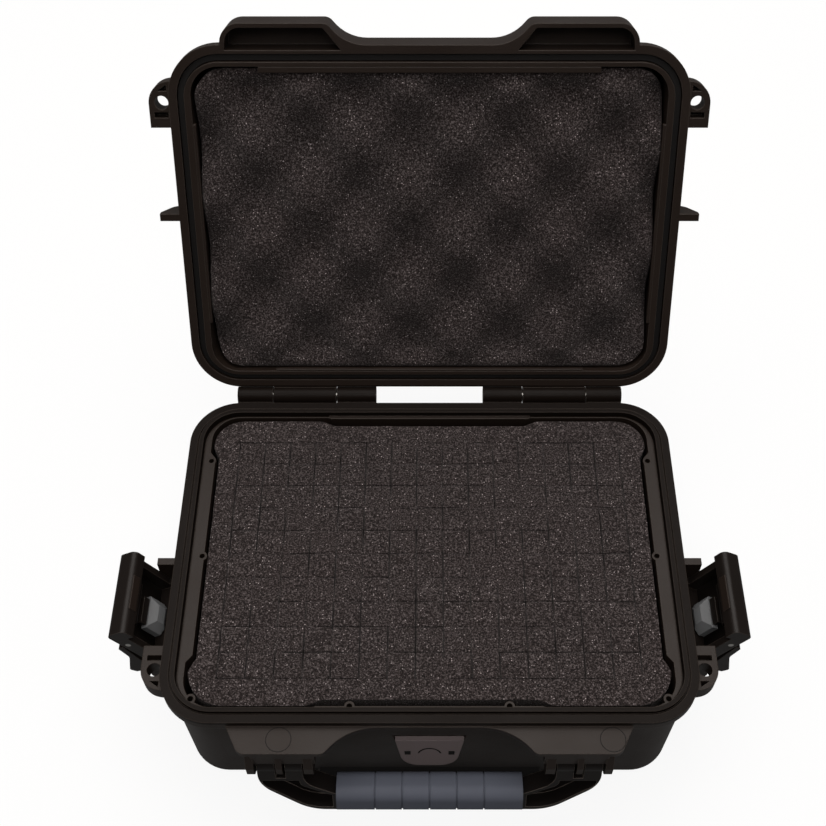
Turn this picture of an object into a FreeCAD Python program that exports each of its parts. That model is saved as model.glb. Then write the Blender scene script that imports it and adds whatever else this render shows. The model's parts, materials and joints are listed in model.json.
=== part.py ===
"""A small moulded hard case, open: base, hinged lid, two side latches, front handle, valve and foam.

Millimetres, +Z up, front towards -Y, X to the right, origin at the middle of the base's underside.
Lid and latch pieces are drawn where they are when the case is shut, then turned open by their Placement.
"""
import FreeCAD
import Part
import Sketcher
import math
import operator
import os

doc = FreeCAD.newDocument("hard_case")
sheet = doc.addObject("Spreadsheet::Sheet", "dims")

# Driving dimensions: name, value, meaning
DIMENSIONS = (
    ("case_half_width", 120.0, "rim edge from the middle, sideways"),
    ("case_half_depth", 85.75, "rim edge from the middle, front to back"),
    ("rim_corner", 24.0, "corner radius of the rim, seen from above"),
    ("base_height", 75.0, "parting plane above the ground"),
    ("lid_height", 34.0, "lid above the parting plane"),
    ("flange_height", 6.0, "height of the rim flange of base and lid"),
    ("flange_overhang", 3.5, "flange beyond the wall under it"),
    ("base_draft", 1.2, "how much the base narrows to its bottom"),
    ("lid_draft", 2.5, "how much the lid narrows to its top"),
    ("bottom_round", 5.0, "radius of the base's lower edge"),
    ("lid_round", 7.0, "radius of the lid's upper edge"),
    ("floor_thickness", 3.0, "floor of the base"),
    ("roof_thickness", 3.0, "roof of the lid"),
    ("cavity_inset_side", 10.5, "rim edge to the cavity, sideways"),
    ("cavity_inset_front", 8.0, "rim edge to the cavity, front and back"),
    ("cavity_corner", 13.5, "corner radius of both cavities"),
    ("cavity_draft", 1.0, "how much each cavity narrows to its floor"),
    ("tongue_inset", 4.8, "rim edge to the sealing tongue"),
    ("tongue_width", 2.0, "thickness of the sealing tongue"),
    ("trace_width", 1.0, "narrow groove outside the sealing tongue"),
    ("trace_depth", 1.2, "depth of the groove outside the tongue"),
    ("ledge_groove_width", 0.6, "narrow groove between tongue and panel ledge"),
    ("ledge_groove_depth", 2.0, "depth of the groove at the panel ledge"),
    ("tongue_height", 1.2, "sealing tongue above the parting plane"),
    ("ledge_drop", 2.0, "panel ledge under the parting plane"),
    ("rail_height", 8.0, "height of the rails under the panel ledge"),
    ("side_rail_reach", 2.8, "side rails into the cavity"),
    ("side_rail_half", 53.0, "half length of a side rail"),
    ("side_rail_slope", 3.5, "sloped end of a side rail"),
    ("front_rail_reach", 0.6, "front and back rails into the cavity"),
    ("front_rail_half", 50.0, "half length of the front and back rails"),
    ("front_rail_slope", 1.2, "sloped end of a front or back rail"),
    ("screw_radius", 1.25, "panel screw hole"),
    ("screw_boss_radius", 2.3, "boss round a panel screw hole"),
    ("screw_depth", 9.0, "depth of a panel screw hole"),
    ("screw_boss_depth", 12.0, "height of a panel screw boss"),
    ("side_screw_inset", 12.4, "rim edge to the side screws"),
    ("side_screw_place", -2.3, "side screws, front to back"),
    ("front_screw_inset", 8.6, "rim edge to the front screws"),
    ("front_screw_half", 35.2, "front screws from the middle"),
    ("corner_screw_x", 14.6, "rim edge to the corner screws, sideways"),
    ("corner_screw_y", 12.0, "rim edge to the corner screws, from the front"),
    ("back_screw_inset", 11.4, "rim edge to the rear side screws"),
    ("back_screw_place", 51.5, "rear side screws, front to back"),
    ("groove_inset", 4.0, "rim edge to the gasket groove"),
    ("groove_width", 3.4, "width of the gasket groove"),
    ("groove_depth", 4.0, "depth of the gasket groove"),
    ("gasket_side_gap", 0.3, "gasket to the groove's sides"),
    ("gasket_height", 2.5, "height of the gasket"),
    ("ridge_width", 2.0, "ridge inside the gasket groove"),
    ("ridge_drop", 1.2, "ridge below the parting plane"),
    ("brow_height", 17.0, "height of the lid's brows"),
    ("brow_wall", 2.0, "front wall of a brow"),
    ("brow_roof", 3.0, "wall over a brow's pocket"),
    ("brow_reach", 9.5, "brow in front of the rim"),
    ("brow_outer", 94.8, "outer end of a brow"),
    ("brow_outer_front", 93.8, "outer front corner of a brow"),
    ("brow_waist", 38.0, "where a brow runs into the rim"),
    ("brow_waist_round", 20.0, "rounding where a brow meets the rim"),
    ("brow_pocket_inset", 2.4, "brow's pocket behind the rim edge"),
    ("brow_round", 9.0, "outer front corner of a brow"),
    ("hinge_offset", 4.9, "hinge axis behind the rim"),
    ("hinge_pin_radius", 2.0, "hinge pin"),
    ("knuckle_radius", 4.4, "hinge knuckle"),
    ("knuckle_web", 7.0, "height of the web that carries a knuckle"),
    ("hinge_inner", 27.4, "inner end of a hinge from the middle"),
    ("hinge_base_inner", 47.4, "end of the inner base knuckle"),
    ("hinge_lid_start", 47.9, "start of the lid knuckle"),
    ("hinge_lid_end", 79.8, "end of the lid knuckle"),
    ("hinge_base_outer", 80.3, "start of the outer base knuckle"),
    ("hinge_outer", 98.2, "outer end of a hinge from the middle"),
    ("pin_clearance", 0.05, "running clearance of pins, on the radius"),
    ("lid_open_angle", 117.0, "lid's opening in the photograph"),
    ("ear_reach", 9.3, "padlock ear beyond the rim"),
    ("ear_front", -69.5, "front end of the padlock ears"),
    ("ear_back", -48.0, "rear face of the padlock ears and front posts"),
    ("ear_hole_y", -59.6, "padlock hole, front to back"),
    ("ear_hole_reach", 3.4, "padlock hole beyond the rim"),
    ("ear_hole_radius", 3.2, "padlock hole"),
    ("ear_boss_radius", 5.0, "wall round a padlock hole"),
    ("ear_thickness", 8.0, "height of a padlock ear"),
    ("ear_set_back", 3.0, "base ears below the parting plane"),
    ("lid_ear_set_back", 0.5, "lid ears above the parting plane"),
    ("ear_pocket_depth", 5.0, "depth of the ear's pockets"),
    ("ear_wall", 2.2, "walls round the ear's pockets"),
    ("post_thickness", 4.0, "front latch post"),
    ("rear_post_front", -6.4, "front face of the rear latch post"),
    ("rear_post_thickness", 3.5, "rear latch post and lid fin"),
    ("rear_post_reach", 8.6, "rear latch post beyond the rim"),
    ("post_foot", 40.0, "where a post runs into the wall"),
    ("post_root", 6.0, "posts and ears rooted inside the rim edge"),
    ("fin_height", 15.0, "height of the lid fin"),
    ("latch_pivot_reach", 3.0, "claw pivot beyond the rim"),
    ("latch_pivot_z", 52.0, "height of the claw pivot"),
    ("latch_pin_radius", 1.75, "claw pivot pin"),
    ("latch_side_gap", 0.3, "claw ends to the posts"),
    ("claw_gap", 0.6, "claw to the edge of the flanges"),
    ("claw_thickness", 7.0, "claw arms from inside to outside"),
    ("claw_arm_width", 3.2, "width of each claw arm"),
    ("claw_boss", 4.5, "claw round its pivot"),
    ("claw_bridge_top", 56.0, "top of the claw's lower bridge"),
    ("hook_clearance", 0.3, "hook over the lid flange"),
    ("hook_height", 6.7, "height of the hook bar"),
    ("hook_reach", 2.7, "hook over the lid flange's edge"),
    ("hook_round", 3.0, "rounding of the hook bar"),
    ("hook_web", 1.3, "hook bar below the hook's face"),
    ("claw_open_angle", 30.0, "claw's opening in the photograph"),
    ("lever_pivot_inset", 2.8, "lever pivot inside the claw's outer face"),
    ("lever_pivot_z", 76.0, "height of the lever pivot"),
    ("lever_pin_radius", 1.25, "lever pivot pin"),
    ("lever_barrel_radius", 2.6, "lever's barrel"),
    ("lever_barrel_half", 10.0, "half length of the lever's barrel"),
    ("lever_gap", 0.6, "lever plate to the claw"),
    ("lever_plate", 3.0, "thickness of the lever plate"),
    ("lever_top", 75.0, "top of the lever plate"),
    ("lever_flare_z", 65.0, "where the lever flares out"),
    ("lever_lip_z", 50.0, "lower edge of the lever"),
    ("lever_flare", 7.5, "how far the lever flares out"),
    ("lever_open_angle", 8.0, "lever's turn on the claw in the photograph"),
    ("slider_half", 8.0, "half length of the slider"),
    ("slider_low", 57.0, "lower end of the slider"),
    ("slider_height", 10.0, "height of the slider"),
    ("slider_depth", 7.0, "slider from inside to outside"),
    ("slider_inner_reach", 3.4, "slider inside its guide stem"),
    ("slider_edge", 0.8, "outer chamfers of the slider"),
    ("slider_stem_half", 6.5, "half width of the slider's guide stem"),
    ("slider_stem_thickness", 2.0, "thickness of the guide stem"),
    ("slider_stem_top", 70.5, "top of the guide stem"),
    ("slider_fit", 0.08, "slider to its guide stem"),
    ("shelf_outer", 89.0, "outer end of a handle bracket"),
    ("shelf_outer_front", 82.8, "outer front corner of a bracket"),
    ("shelf_inner_front", 46.0, "inner front corner of a bracket"),
    ("shelf_waist", 36.0, "where a bracket runs into the middle ledge"),
    ("shelf_reach", 12.6, "bracket in front of the rim"),
    ("shelf_middle_reach", 0.6, "middle ledge in front of the rim"),
    ("shelf_rise", 2.5, "bracket's top above the flange's underside"),
    ("shelf_thickness", 3.0, "thickness of the bracket's top"),
    ("shelf_corner", 5.0, "rounding of the bracket's front corners"),
    ("shelf_waist_round", 28.0, "rounding where the bracket meets the ledge"),
    ("lip_thickness", 2.2, "thickness of the bracket's front lip"),
    ("lip_bottom", 59.8, "lower edge of the bracket's front lip"),
    ("lip_inner", 50.0, "inner end of the front lip"),
    ("handle_axis_reach", 8.75, "handle pivot in front of the rim"),
    ("handle_axis_z", 54.5, "height of the handle pivot"),
    ("handle_pin_radius", 1.75, "handle pivot pin"),
    ("bracket_eye", 6.1, "bracket fins round the handle pivot"),
    ("bracket_foot", 36.0, "where the bracket fins run into the wall"),
    ("fin_inner_start", 51.0, "inner bracket fin"),
    ("fin_inner_end", 55.2, "inner bracket fin, outer side"),
    ("fin_middle_start", 64.6, "middle bracket fin"),
    ("fin_middle_end", 67.4, "middle bracket fin, outer side"),
    ("fin_outer_start", 77.0, "outer bracket fin"),
    ("fin_outer_end", 80.4, "outer bracket fin, outer side"),
    ("lug_gap", 0.8, "handle lugs to the bracket fins"),
    ("lug_radius", 5.0, "handle lugs round the pivot"),
    ("fork_depth", 7.6, "fork of a handle arm below the pivot"),
    ("arm_thickness", 9.0, "handle arms from front to back"),
    ("handle_drop", 23.8, "grip's middle below the pivot"),
    ("handle_tilt", 14.6, "handle's forward lean where it rests"),
    ("grip_half", 42.0, "half length of the grip"),
    ("grip_depth", 15.0, "grip from front to back"),
    ("grip_height", 15.0, "height of the grip"),
    ("grip_round", 5.5, "rounding of the grip's section"),
    ("grip_groove_width", 0.6, "grooves across the grip"),
    ("grip_groove_depth", 0.4, "depth of the grip's grooves"),
    ("grip_groove_pitch", 12.3, "spacing of the grip's grooves"),
    ("grip_groove_count", 5.0, "grooves across the grip"),
    ("core_depth", 6.0, "handle core in the grip, front to back"),
    ("core_height", 8.0, "height of the handle core"),
    ("core_fit", 0.05, "grip to the core"),
    ("arm_wall", 1.8, "walls of the hollow handle arms"),
    ("arm_heel", 8.0, "arm's lower edge below the grip's middle"),
    ("valve_half_top", 15.7, "valve cover, half width at the top"),
    ("valve_half_low", 12.0, "valve cover, half width low down"),
    ("valve_top", 45.0, "upper edge of the valve cover"),
    ("valve_low", 24.5, "lower edge of the valve cover"),
    ("valve_round", 9.0, "lower corners of the valve cover"),
    ("valve_seat", 5.75, "rim edge back to the valve cover's seat"),
    ("valve_thickness", 2.2, "valve cover at its top"),
    ("valve_lean", 4.0, "how much thicker the valve cover is at its foot"),
    ("valve_fit", 0.15, "valve cover to its recess"),
    ("valve_recess_rise", 6.0, "valve recess above its cover"),
    ("valve_centre_z", 35.0, "height of the breather hole"),
    ("breather_radius", 3.0, "breather hole through the wall"),
    ("membrane_radius", 5.5, "valve membrane"),
    ("membrane_thickness", 0.3, "valve membrane"),
    ("retainer_thickness", 0.8, "membrane retainer"),
    ("vent_half", 1.4, "half width of the small square vents"),
    ("vent_place", 10.1, "square vents from the middle"),
    ("foam_gap", 0.3, "foam to the shell"),
    ("foam_rail_gap", 1.6, "foam to the side rails"),
    ("foam_front_gap", 3.6, "foam to the front and back rails"),
    ("foam_corner_front", 17.0, "front corners of the cubed foam"),
    ("foam_corner_back", 14.0, "rear corners of the foam"),
    ("foam_pad_thickness", 5.0, "bottom pad"),
    ("foam_split", 30.0, "top of the plain foam layer"),
    ("foam_top_drop", 1.5, "cubed foam below the panel ledge"),
    ("cube_pitch", 12.7, "spacing of the cuts in the cubed foam"),
    ("cube_columns", 16.0, "cuts from front to back"),
    ("cube_rows", 11.0, "cuts from side to side"),
    ("cube_cut", 0.5, "width of a cut"),
    ("cube_cut_depth", 12.0, "depth of the cuts"),
    ("egg_side_gap", 0.5, "lid foam to the lid's side walls"),
    ("egg_pitch_x", 24.0, "peak to hollow of the lid foam, sideways"),
    ("egg_pitch_y", 25.7, "peak to hollow of the lid foam, front to back"),
    ("egg_first_x", -81.5, "first whole hollow of the lid foam, sideways"),
    ("egg_first_inset", 10.0, "first row of the lid foam from its front edge"),
    ("egg_rows", 6.0, "rows of peaks and hollows"),
    ("egg_peak_drop", -1.5, "lid foam's peaks above the parting plane"),
    ("egg_depth", 13.0, "hollows below the peaks"),
    ("egg_edge_drop", 2.5, "foam's front and rear edges behind its peaks"),
    ("egg_flat", 0.6, "waviness left at the foam's front and rear edges"),
)

OPERATIONS = {"+": operator.add, "-": operator.sub, "*": operator.mul, "/": operator.truediv}


def number(size):
    return size.value if isinstance(size, Size) else float(size)


def text(size):
    return size.text if isinstance(size, Size) else "%.6f" % size


class Size:
    """A length that carries its number and the sheet expression that gives it."""

    def __init__(self, value, expression):
        self.value = value
        self.text = expression

    def joined(self, left, sign, right):
        value = OPERATIONS[sign](number(left), number(right))
        return Size(value, "(%s %s %s)" % (text(left), sign, text(right)))

    def __add__(self, other):
        return self.joined(self, "+", other)

    def __radd__(self, other):
        return self.joined(other, "+", self)

    def __sub__(self, other):
        return self.joined(self, "-", other)

    def __rsub__(self, other):
        return self.joined(other, "-", self)

    def __mul__(self, other):
        return self.joined(self, "*", other)

    def __rmul__(self, other):
        return self.joined(other, "*", self)

    def __truediv__(self, other):
        return self.joined(self, "/", other)

    def __neg__(self):
        return self.joined(0, "-", self)


class Dimensions:
    """Gives each cell of the sheet by its alias."""

    def __getattr__(self, alias):
        return Size(float(sheet.get(alias)), "dims." + alias)


class Round:
    """A full circle in an outline."""

    def __init__(self, u, v, radius):
        self.centre = (u, v)
        self.radius = radius


def fill_sheet():
    for row, (alias, value, meaning) in enumerate(DIMENSIONS, start=1):
        sheet.set("A%d" % row, meaning)
        sheet.set("B%d" % row, str(value))
        sheet.setAlias("B%d" % row, alias)
    doc.recompute()


fill_sheet()
d = Dimensions()


def bind(item, name, size):
    item.setExpression(name, text(size))


SIDES = {"left": -1, "right": 1}

# Outlines
NORMAL_SIGN = {"XY": 1, "XZ": -1, "YZ": 1}


def origin_feature(body, role):
    return next(item for item in body.Origin.OriginFeatures if item.Role == role)


def new_sketch(body, name, plane, level):
    """An empty sketch on one of the body's own planes, at a level along that plane's axis."""
    sketch = body.newObject("Sketcher::SketchObject", name)
    sketch.AttachmentSupport = (origin_feature(body, plane + "_Plane"), [""])
    sketch.MapMode = "FlatFace"
    bind(sketch, "AttachmentOffset.Base.z", level * NORMAL_SIGN[plane])
    return sketch


def fix(sketch, kind, *items):
    """Adds a dimension whose value is bound to the sheet."""
    size = items[-1]
    index = sketch.addConstraint(Sketcher.Constraint(kind, *items[:-1], number(size)))
    bind(sketch, "Constraints[%d]" % index, size)


def fix_point(sketch, geometry, end, u, v):
    fix(sketch, "DistanceX", -1, 1, geometry, end, u)
    fix(sketch, "DistanceY", -1, 1, geometry, end, v)


def draw_circle(sketch, loop):
    centre = FreeCAD.Vector(number(loop.centre[0]), number(loop.centre[1]), 0)
    circle = Part.Circle(centre, FreeCAD.Vector(0, 0, 1), number(loop.radius))
    index = sketch.addGeometry(circle, False)
    fix_point(sketch, index, 3, *loop.centre)
    fix(sketch, "Radius", index, loop.radius)


def rounded_corner(spot, before, after, radius):
    """Start, end, centre of the arc that rounds a corner, and whether it turns left."""
    inward = (spot - before).normalize()
    outward = (after - spot).normalize()
    turn = inward.x * outward.y - inward.y * outward.x
    bend = math.acos(max(-1.0, min(1.0, inward.dot(outward))))
    trim = radius * math.tan(bend / 2)
    start = spot - inward * trim
    side = FreeCAD.Vector(-inward.y, inward.x, 0) * math.copysign(radius, turn)
    return start, spot + outward * trim, start + side, turn > 0


def draw_loop(sketch, corners):
    """One closed outline. A corner is (u, v), or (u, v, radius) where it is rounded."""
    count = len(corners)
    spots = [FreeCAD.Vector(number(c[0]), number(c[1]), 0) for c in corners]
    arcs = {}
    for i, corner in enumerate(corners):
        if len(corner) > 2:
            arcs[i] = rounded_corner(spots[i], spots[i - 1], spots[(i + 1) % count], number(corner[2]))
    lines = []
    for i in range(count):
        after = (i + 1) % count
        start = arcs[i][1] if i in arcs else spots[i]
        end = arcs[after][0] if after in arcs else spots[after]
        lines.append(sketch.addGeometry(Part.LineSegment(start, end), False))
    for i, corner in enumerate(corners):
        before = lines[i - 1]
        if i not in arcs:
            sketch.addConstraint(Sketcher.Constraint("Coincident", before, 2, lines[i], 1))
            fix_point(sketch, lines[i], 1, corner[0], corner[1])
            continue
        start, end, centre, left = arcs[i]
        circle = Part.Circle(centre, FreeCAD.Vector(0, 0, 1), number(corner[2]))
        first, last = (start, end) if left else (end, start)
        angles = [math.atan2(p.y - centre.y, p.x - centre.x) for p in (first, last)]
        arc = sketch.addGeometry(Part.ArcOfCircle(circle, *angles), False)
        tip = sketch.addGeometry(Part.Point(spots[i]), True)
        ends = (1, 2) if left else (2, 1)
        sketch.addConstraint([
            Sketcher.Constraint("Tangent", before, 2, arc, ends[0]),
            Sketcher.Constraint("Tangent", arc, ends[1], lines[i], 1),
            Sketcher.Constraint("PointOnObject", tip, 1, before),
            Sketcher.Constraint("PointOnObject", tip, 1, lines[i]),
        ])
        fix_point(sketch, tip, 1, corner[0], corner[1])
        fix(sketch, "Radius", arc, corner[2])


def outline(body, name, plane, level, loops):
    sketch = new_sketch(body, name, plane, level)
    for loop in loops:
        if isinstance(loop, Round):
            draw_circle(sketch, loop)
        else:
            draw_loop(sketch, loop)
    return sketch


def rectangle(half_u, half_v, radius):
    """A rounded rectangle about the middle."""
    return [(-half_u, -half_v, radius), (half_u, -half_v, radius),
            (half_u, half_v, radius), (-half_u, half_v, radius)]


def box(u_low, u_high, v_low, v_high):
    return [(u_low, v_low), (u_high, v_low), (u_high, v_high), (u_low, v_high)]


def mirrored(loop, side):
    """The outline on one side: its first coordinate times +1 or -1."""
    if isinstance(loop, Round):
        return Round(loop.centre[0] * side, loop.centre[1], loop.radius)
    return [(corner[0] * side,) + tuple(corner[1:]) for corner in loop]


def span(start, end, side):
    """Two places beside the middle on one side, the lower one first."""
    return sorted((start * side, end * side), key=number)


def both(*loops):
    """The same outlines on the left and on the right."""
    return [mirrored(loop, side) for loop in loops for side in SIDES.values()]


# Features
def new_body(name):
    body = doc.addObject("PartDesign::Body", name)
    body.Label = name
    return body


def settled(body, feature, grows):
    """Recomputes, and makes sure that the feature added or took away material."""
    feature.Refine = False
    before = feature.BaseFeature.Shape.Volume if feature.BaseFeature else 0.0
    doc.recompute()
    after = feature.Shape.Volume
    if (after > before) != grows or after == before:
        raise ValueError("%s.%s changed nothing: %.3f to %.3f" % (body.Name, feature.Name, before, after))
    return feature


def extrude(body, kind, name, plane, low, high, loops):
    level = high if NORMAL_SIGN[plane] < 0 else low
    feature = body.newObject(kind, name)
    feature.Profile = outline(body, name + "_outline", plane, level, loops)
    bind(feature, "Length", high - low)
    feature.Profile[0].Visibility = False
    return feature


def pad(body, name, plane, low, high, *loops):
    return settled(body, extrude(body, "PartDesign::Pad", name, plane, low, high, loops), True)


def pocket(body, name, plane, low, high, *loops):
    feature = extrude(body, "PartDesign::Pocket", name, plane, low, high, loops)
    feature.Reversed = True
    return settled(body, feature, False)


def loft(body, kind, name, sections):
    """A straight-sided loft through outlines at two levels."""
    sketches = [outline(body, "%s_section_%d" % (name, i), "XY", level, [loop])
                for i, (level, loop) in enumerate(sections)]
    feature = body.newObject(kind, name)
    feature.Profile = sketches[0]
    feature.Sections = sketches[1:]
    feature.Ruled = True
    return settled(body, feature, kind == "PartDesign::AdditiveLoft")


def fillet(body, name, radius, chosen):
    """Rounds the edges of the body for which chosen(edge) is true."""
    base = body.Tip
    names = ["Edge%d" % i for i, edge in enumerate(base.Shape.Edges, start=1) if chosen(edge)]
    feature = body.newObject("PartDesign::Fillet", name)
    feature.Base = (base, names)
    bind(feature, "Radius", radius)
    doc.recompute()
    return feature


def lies_at_height(level):
    """True for an edge that lies whole in the plane z = level."""
    def chosen(edge):
        bounds = edge.BoundBox
        return abs(bounds.ZMin - number(level)) < 1e-4 and abs(bounds.ZMax - number(level)) < 1e-4
    return chosen


def rim(inset_side, inset_front, radius):
    return rectangle(d.case_half_width - inset_side, d.case_half_depth - inset_front, radius)


def even_rim(inset):
    """The rim's outline moved inwards by the same distance all round."""
    return rim(inset, inset, d.rim_corner - inset)


# Places worked out from the driving dimensions
rim_edge = d.case_half_width
rim_front = -d.case_half_depth
parting = d.base_height
ledge = parting - d.ledge_drop
flange_bottom = parting - d.flange_height
lid_flange_top = parting + d.flange_height
lid_top = parting + d.lid_height
hinge_y = d.case_half_depth + d.hinge_offset
tongue_inner = d.tongue_inset + d.tongue_width
ridge_outer = d.groove_inset + d.groove_width
ear_tip = rim_edge + d.ear_reach
ear_hole_x = rim_edge + d.ear_hole_reach
pivot_x = rim_edge + d.latch_pivot_reach
post_front = d.ear_back - d.post_thickness
rear_post_back = d.rear_post_front + d.rear_post_thickness
handle_y = rim_front - d.handle_axis_reach
shelf_front = rim_front - d.shelf_reach
shelf_top = flange_bottom + d.shelf_rise
shelf_bottom = shelf_top - d.shelf_thickness


# Base shell
def base_walls(body):
    wall = d.flange_overhang
    foot = d.flange_overhang + d.base_draft
    loft(body, "PartDesign::AdditiveLoft", "wall", [
        (parting * 0, even_rim(foot)),
        (flange_bottom, even_rim(wall)),
    ])
    fillet(body, "bottom_rounding", d.bottom_round, lies_at_height(0))
    pad(body, "flange", "XY", flange_bottom, parting, even_rim(parting * 0))
    pad(body, "tongue", "XY", parting, parting + d.tongue_height, even_rim(d.tongue_inset))


def base_cavity(body):
    pocket(body, "ledge_recess", "XY", ledge, parting + d.tongue_height, even_rim(tongue_inner))
    pocket(body, "trace", "XY", parting - d.trace_depth, parting,
           even_rim(d.tongue_inset - d.trace_width), even_rim(d.tongue_inset))
    pocket(body, "ledge_groove", "XY", ledge - d.ledge_groove_depth, ledge,
           even_rim(tongue_inner), even_rim(tongue_inner + d.ledge_groove_width))
    loft(body, "PartDesign::SubtractiveLoft", "cavity", [
        (d.floor_thickness, rim(d.cavity_inset_side + d.cavity_draft, d.cavity_inset_front + d.cavity_draft,
                                d.cavity_corner - d.cavity_draft)),
        (ledge, rim(d.cavity_inset_side, d.cavity_inset_front, d.cavity_corner)),
    ])


def rail_outline(wall, inner, half, slope):
    """A rail with sloped ends: wall and inner are the two long sides."""
    return [(wall, -half - slope), (inner, -half), (inner, half), (wall, half + slope)]


def swapped(corners):
    return [(corner[1], corner[0]) + tuple(corner[2:]) for corner in corners]


def base_rails(body):
    low = ledge - d.rail_height
    side_wall = rim_edge - d.cavity_inset_side
    end_wall = d.case_half_depth - d.cavity_inset_front
    root = d.cavity_draft * 2
    side_rail = rail_outline(side_wall, side_wall - d.side_rail_reach, d.side_rail_half, d.side_rail_slope)
    end_rail = rail_outline(end_wall, end_wall - d.front_rail_reach, d.front_rail_half, d.front_rail_slope)
    side_rail = [(side_wall + root, side_rail[0][1])] + side_rail + [(side_wall + root, side_rail[3][1])]
    end_rail = [(end_wall + root, end_rail[0][1])] + end_rail + [(end_wall + root, end_rail[3][1])]
    end_rails = [swapped(loop) for loop in both(end_rail)]
    pad(body, "rails", "XY", low, ledge, *both(side_rail), *end_rails)


def panel_screws():
    """Places of the panel screws on the right side: side, front, front corner, rear side."""
    return [
        (rim_edge - d.side_screw_inset, d.side_screw_place),
        (d.front_screw_half, rim_front + d.front_screw_inset),
        (rim_edge - d.corner_screw_x, rim_front + d.corner_screw_y),
        (rim_edge - d.back_screw_inset, d.back_screw_place),
    ]


def base_screws(body):
    places = [(x * side, y) for x, y in panel_screws() for side in SIDES.values()]
    bosses = [Round(x, y, d.screw_boss_radius) for x, y in places]
    holes = [Round(x, y, d.screw_radius) for x, y in places]
    pad(body, "screw_bosses", "XY", ledge - d.screw_boss_depth, ledge, *bosses)
    pocket(body, "screw_holes", "XY", ledge - d.screw_depth, ledge, *holes)


def ear_outline():
    root = rim_edge - d.post_root
    round_front = d.ear_reach + 1.0
    return [(root, d.ear_back), (ear_tip, d.ear_back), (ear_tip, d.ear_front + 1.5, round_front),
            (rim_edge - 1.0, d.ear_front), (root, d.ear_front)]


def ear_pockets():
    """Two pockets, one on each side of the padlock hole's boss."""
    near = rim_edge + 0.6
    far = ear_tip - d.ear_wall
    boss_back = d.ear_hole_y + d.ear_boss_radius
    boss_front = d.ear_hole_y - d.ear_boss_radius
    rear = box(near, far, boss_back - 0.6, post_front - 0.6)
    front = [(near, boss_front - 0.4), (near + 4.2, boss_front - 0.4), (near, boss_front - 3.2)]
    return rear, front


def padlock_hole():
    return Round(ear_hole_x, d.ear_hole_y, d.ear_hole_radius)


def base_ears(body):
    top = parting - d.ear_set_back
    low = top - d.ear_thickness
    pad(body, "ears", "XY", low, top, *both(ear_outline()))
    pocket(body, "ear_pockets", "XY", top - d.ear_pocket_depth, top, *both(*ear_pockets()))
    pocket(body, "padlock_holes", "XY", low, top, *both(padlock_hole()))


def post_outline(reach, top):
    eye = d.claw_boss
    root = rim_edge - d.post_root
    tip = rim_edge + reach
    return [(root, top), (tip, top), (tip, d.latch_pivot_z - eye, eye - 0.5), (root, d.post_foot)]


def base_posts(body):
    top = parting - d.ear_set_back
    bore = d.latch_pin_radius + d.pin_clearance
    pad(body, "front_posts", "XZ", post_front, d.ear_back, *both(post_outline(d.ear_reach, top)))
    pad(body, "rear_posts", "XZ", d.rear_post_front, rear_post_back,
        *both(post_outline(d.rear_post_reach, top)))
    pocket(body, "latch_bores", "XZ", post_front, rear_post_back,
           *both(Round(pivot_x, d.latch_pivot_z, bore)))


def knuckle(body, name, start, end, side, upward):
    """A hinge knuckle with the web that joins it to the flange, above or below the hinge axis."""
    low, high = span(start, end, side)
    root = d.case_half_depth - d.flange_overhang
    rounding = d.knuckle_radius * 0.98
    near = hinge_y - d.knuckle_radius
    far = hinge_y + d.knuckle_radius
    crown = parting - d.knuckle_radius * upward
    heel = parting + d.knuckle_radius * upward
    foot = parting + d.knuckle_web * upward
    web = [(root, parting), (near, parting), (near, crown, rounding), (far, crown, rounding),
           (far, heel, rounding),
           (hinge_y, heel), (root, foot)]
    pad(body, name, "YZ", low, high, web)


def knuckle_bores(body):
    bore = Round(hinge_y, parting, d.hinge_pin_radius + d.pin_clearance)
    pocket(body, "hinge_bores", "YZ", -d.hinge_outer, d.hinge_outer, bore)


def base_hinges(body):
    for name, side in SIDES.items():
        knuckle(body, "inner_knuckle_" + name, d.hinge_inner, d.hinge_base_inner, side, -1)
        knuckle(body, "outer_knuckle_" + name, d.hinge_base_outer, d.hinge_outer, side, -1)
    knuckle_bores(body)


def shelf_outline():
    middle = rim_front - d.shelf_middle_reach
    root = rim_front + d.flange_overhang * 2
    return [(d.shelf_outer, root), (d.shelf_outer, rim_front),
            (d.shelf_outer_front, shelf_front, d.shelf_corner),
            (d.shelf_inner_front, shelf_front, d.shelf_corner - 1.0),
            (d.shelf_waist, middle, d.shelf_waist_round)]


def fin_outline():
    """Side view of a bracket fin, with a rounded eye about the handle pivot."""
    root = rim_front + d.flange_overhang * 2
    top = shelf_bottom + 0.5
    low = d.handle_axis_z - d.bracket_eye
    nose = handle_y - d.bracket_eye
    return [(root, top), (shelf_front + d.lip_thickness / 2, top), (nose, d.lip_bottom - 1.0),
            (nose, low, d.bracket_eye - 0.6), (handle_y + d.bracket_eye, low, d.bracket_eye - 2.0),
            (root, d.bracket_foot)]


def base_brackets(body):
    fins = (("inner", d.fin_inner_start, d.fin_inner_end), ("middle", d.fin_middle_start, d.fin_middle_end),
            ("outer", d.fin_outer_start, d.fin_outer_end))
    half = shelf_outline()
    pad(body, "shelf", "XY", shelf_bottom, shelf_top, half + mirrored(half, -1)[::-1])
    lip = box(d.lip_inner, d.shelf_outer_front - d.shelf_corner, shelf_front, shelf_front + d.lip_thickness)
    pad(body, "lips", "XY", d.lip_bottom, shelf_bottom, *both(lip))
    for name, side in SIDES.items():
        for fin, start, end in fins:
            low, high = span(start, end, side)
            pad(body, "%s_fin_%s" % (fin, name), "YZ", low, high, fin_outline())
    bore = Round(handle_y, d.handle_axis_z, d.handle_pin_radius + d.pin_clearance)
    pocket(body, "handle_bores", "YZ", -d.fin_outer_end, d.fin_outer_end, bore)


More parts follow.
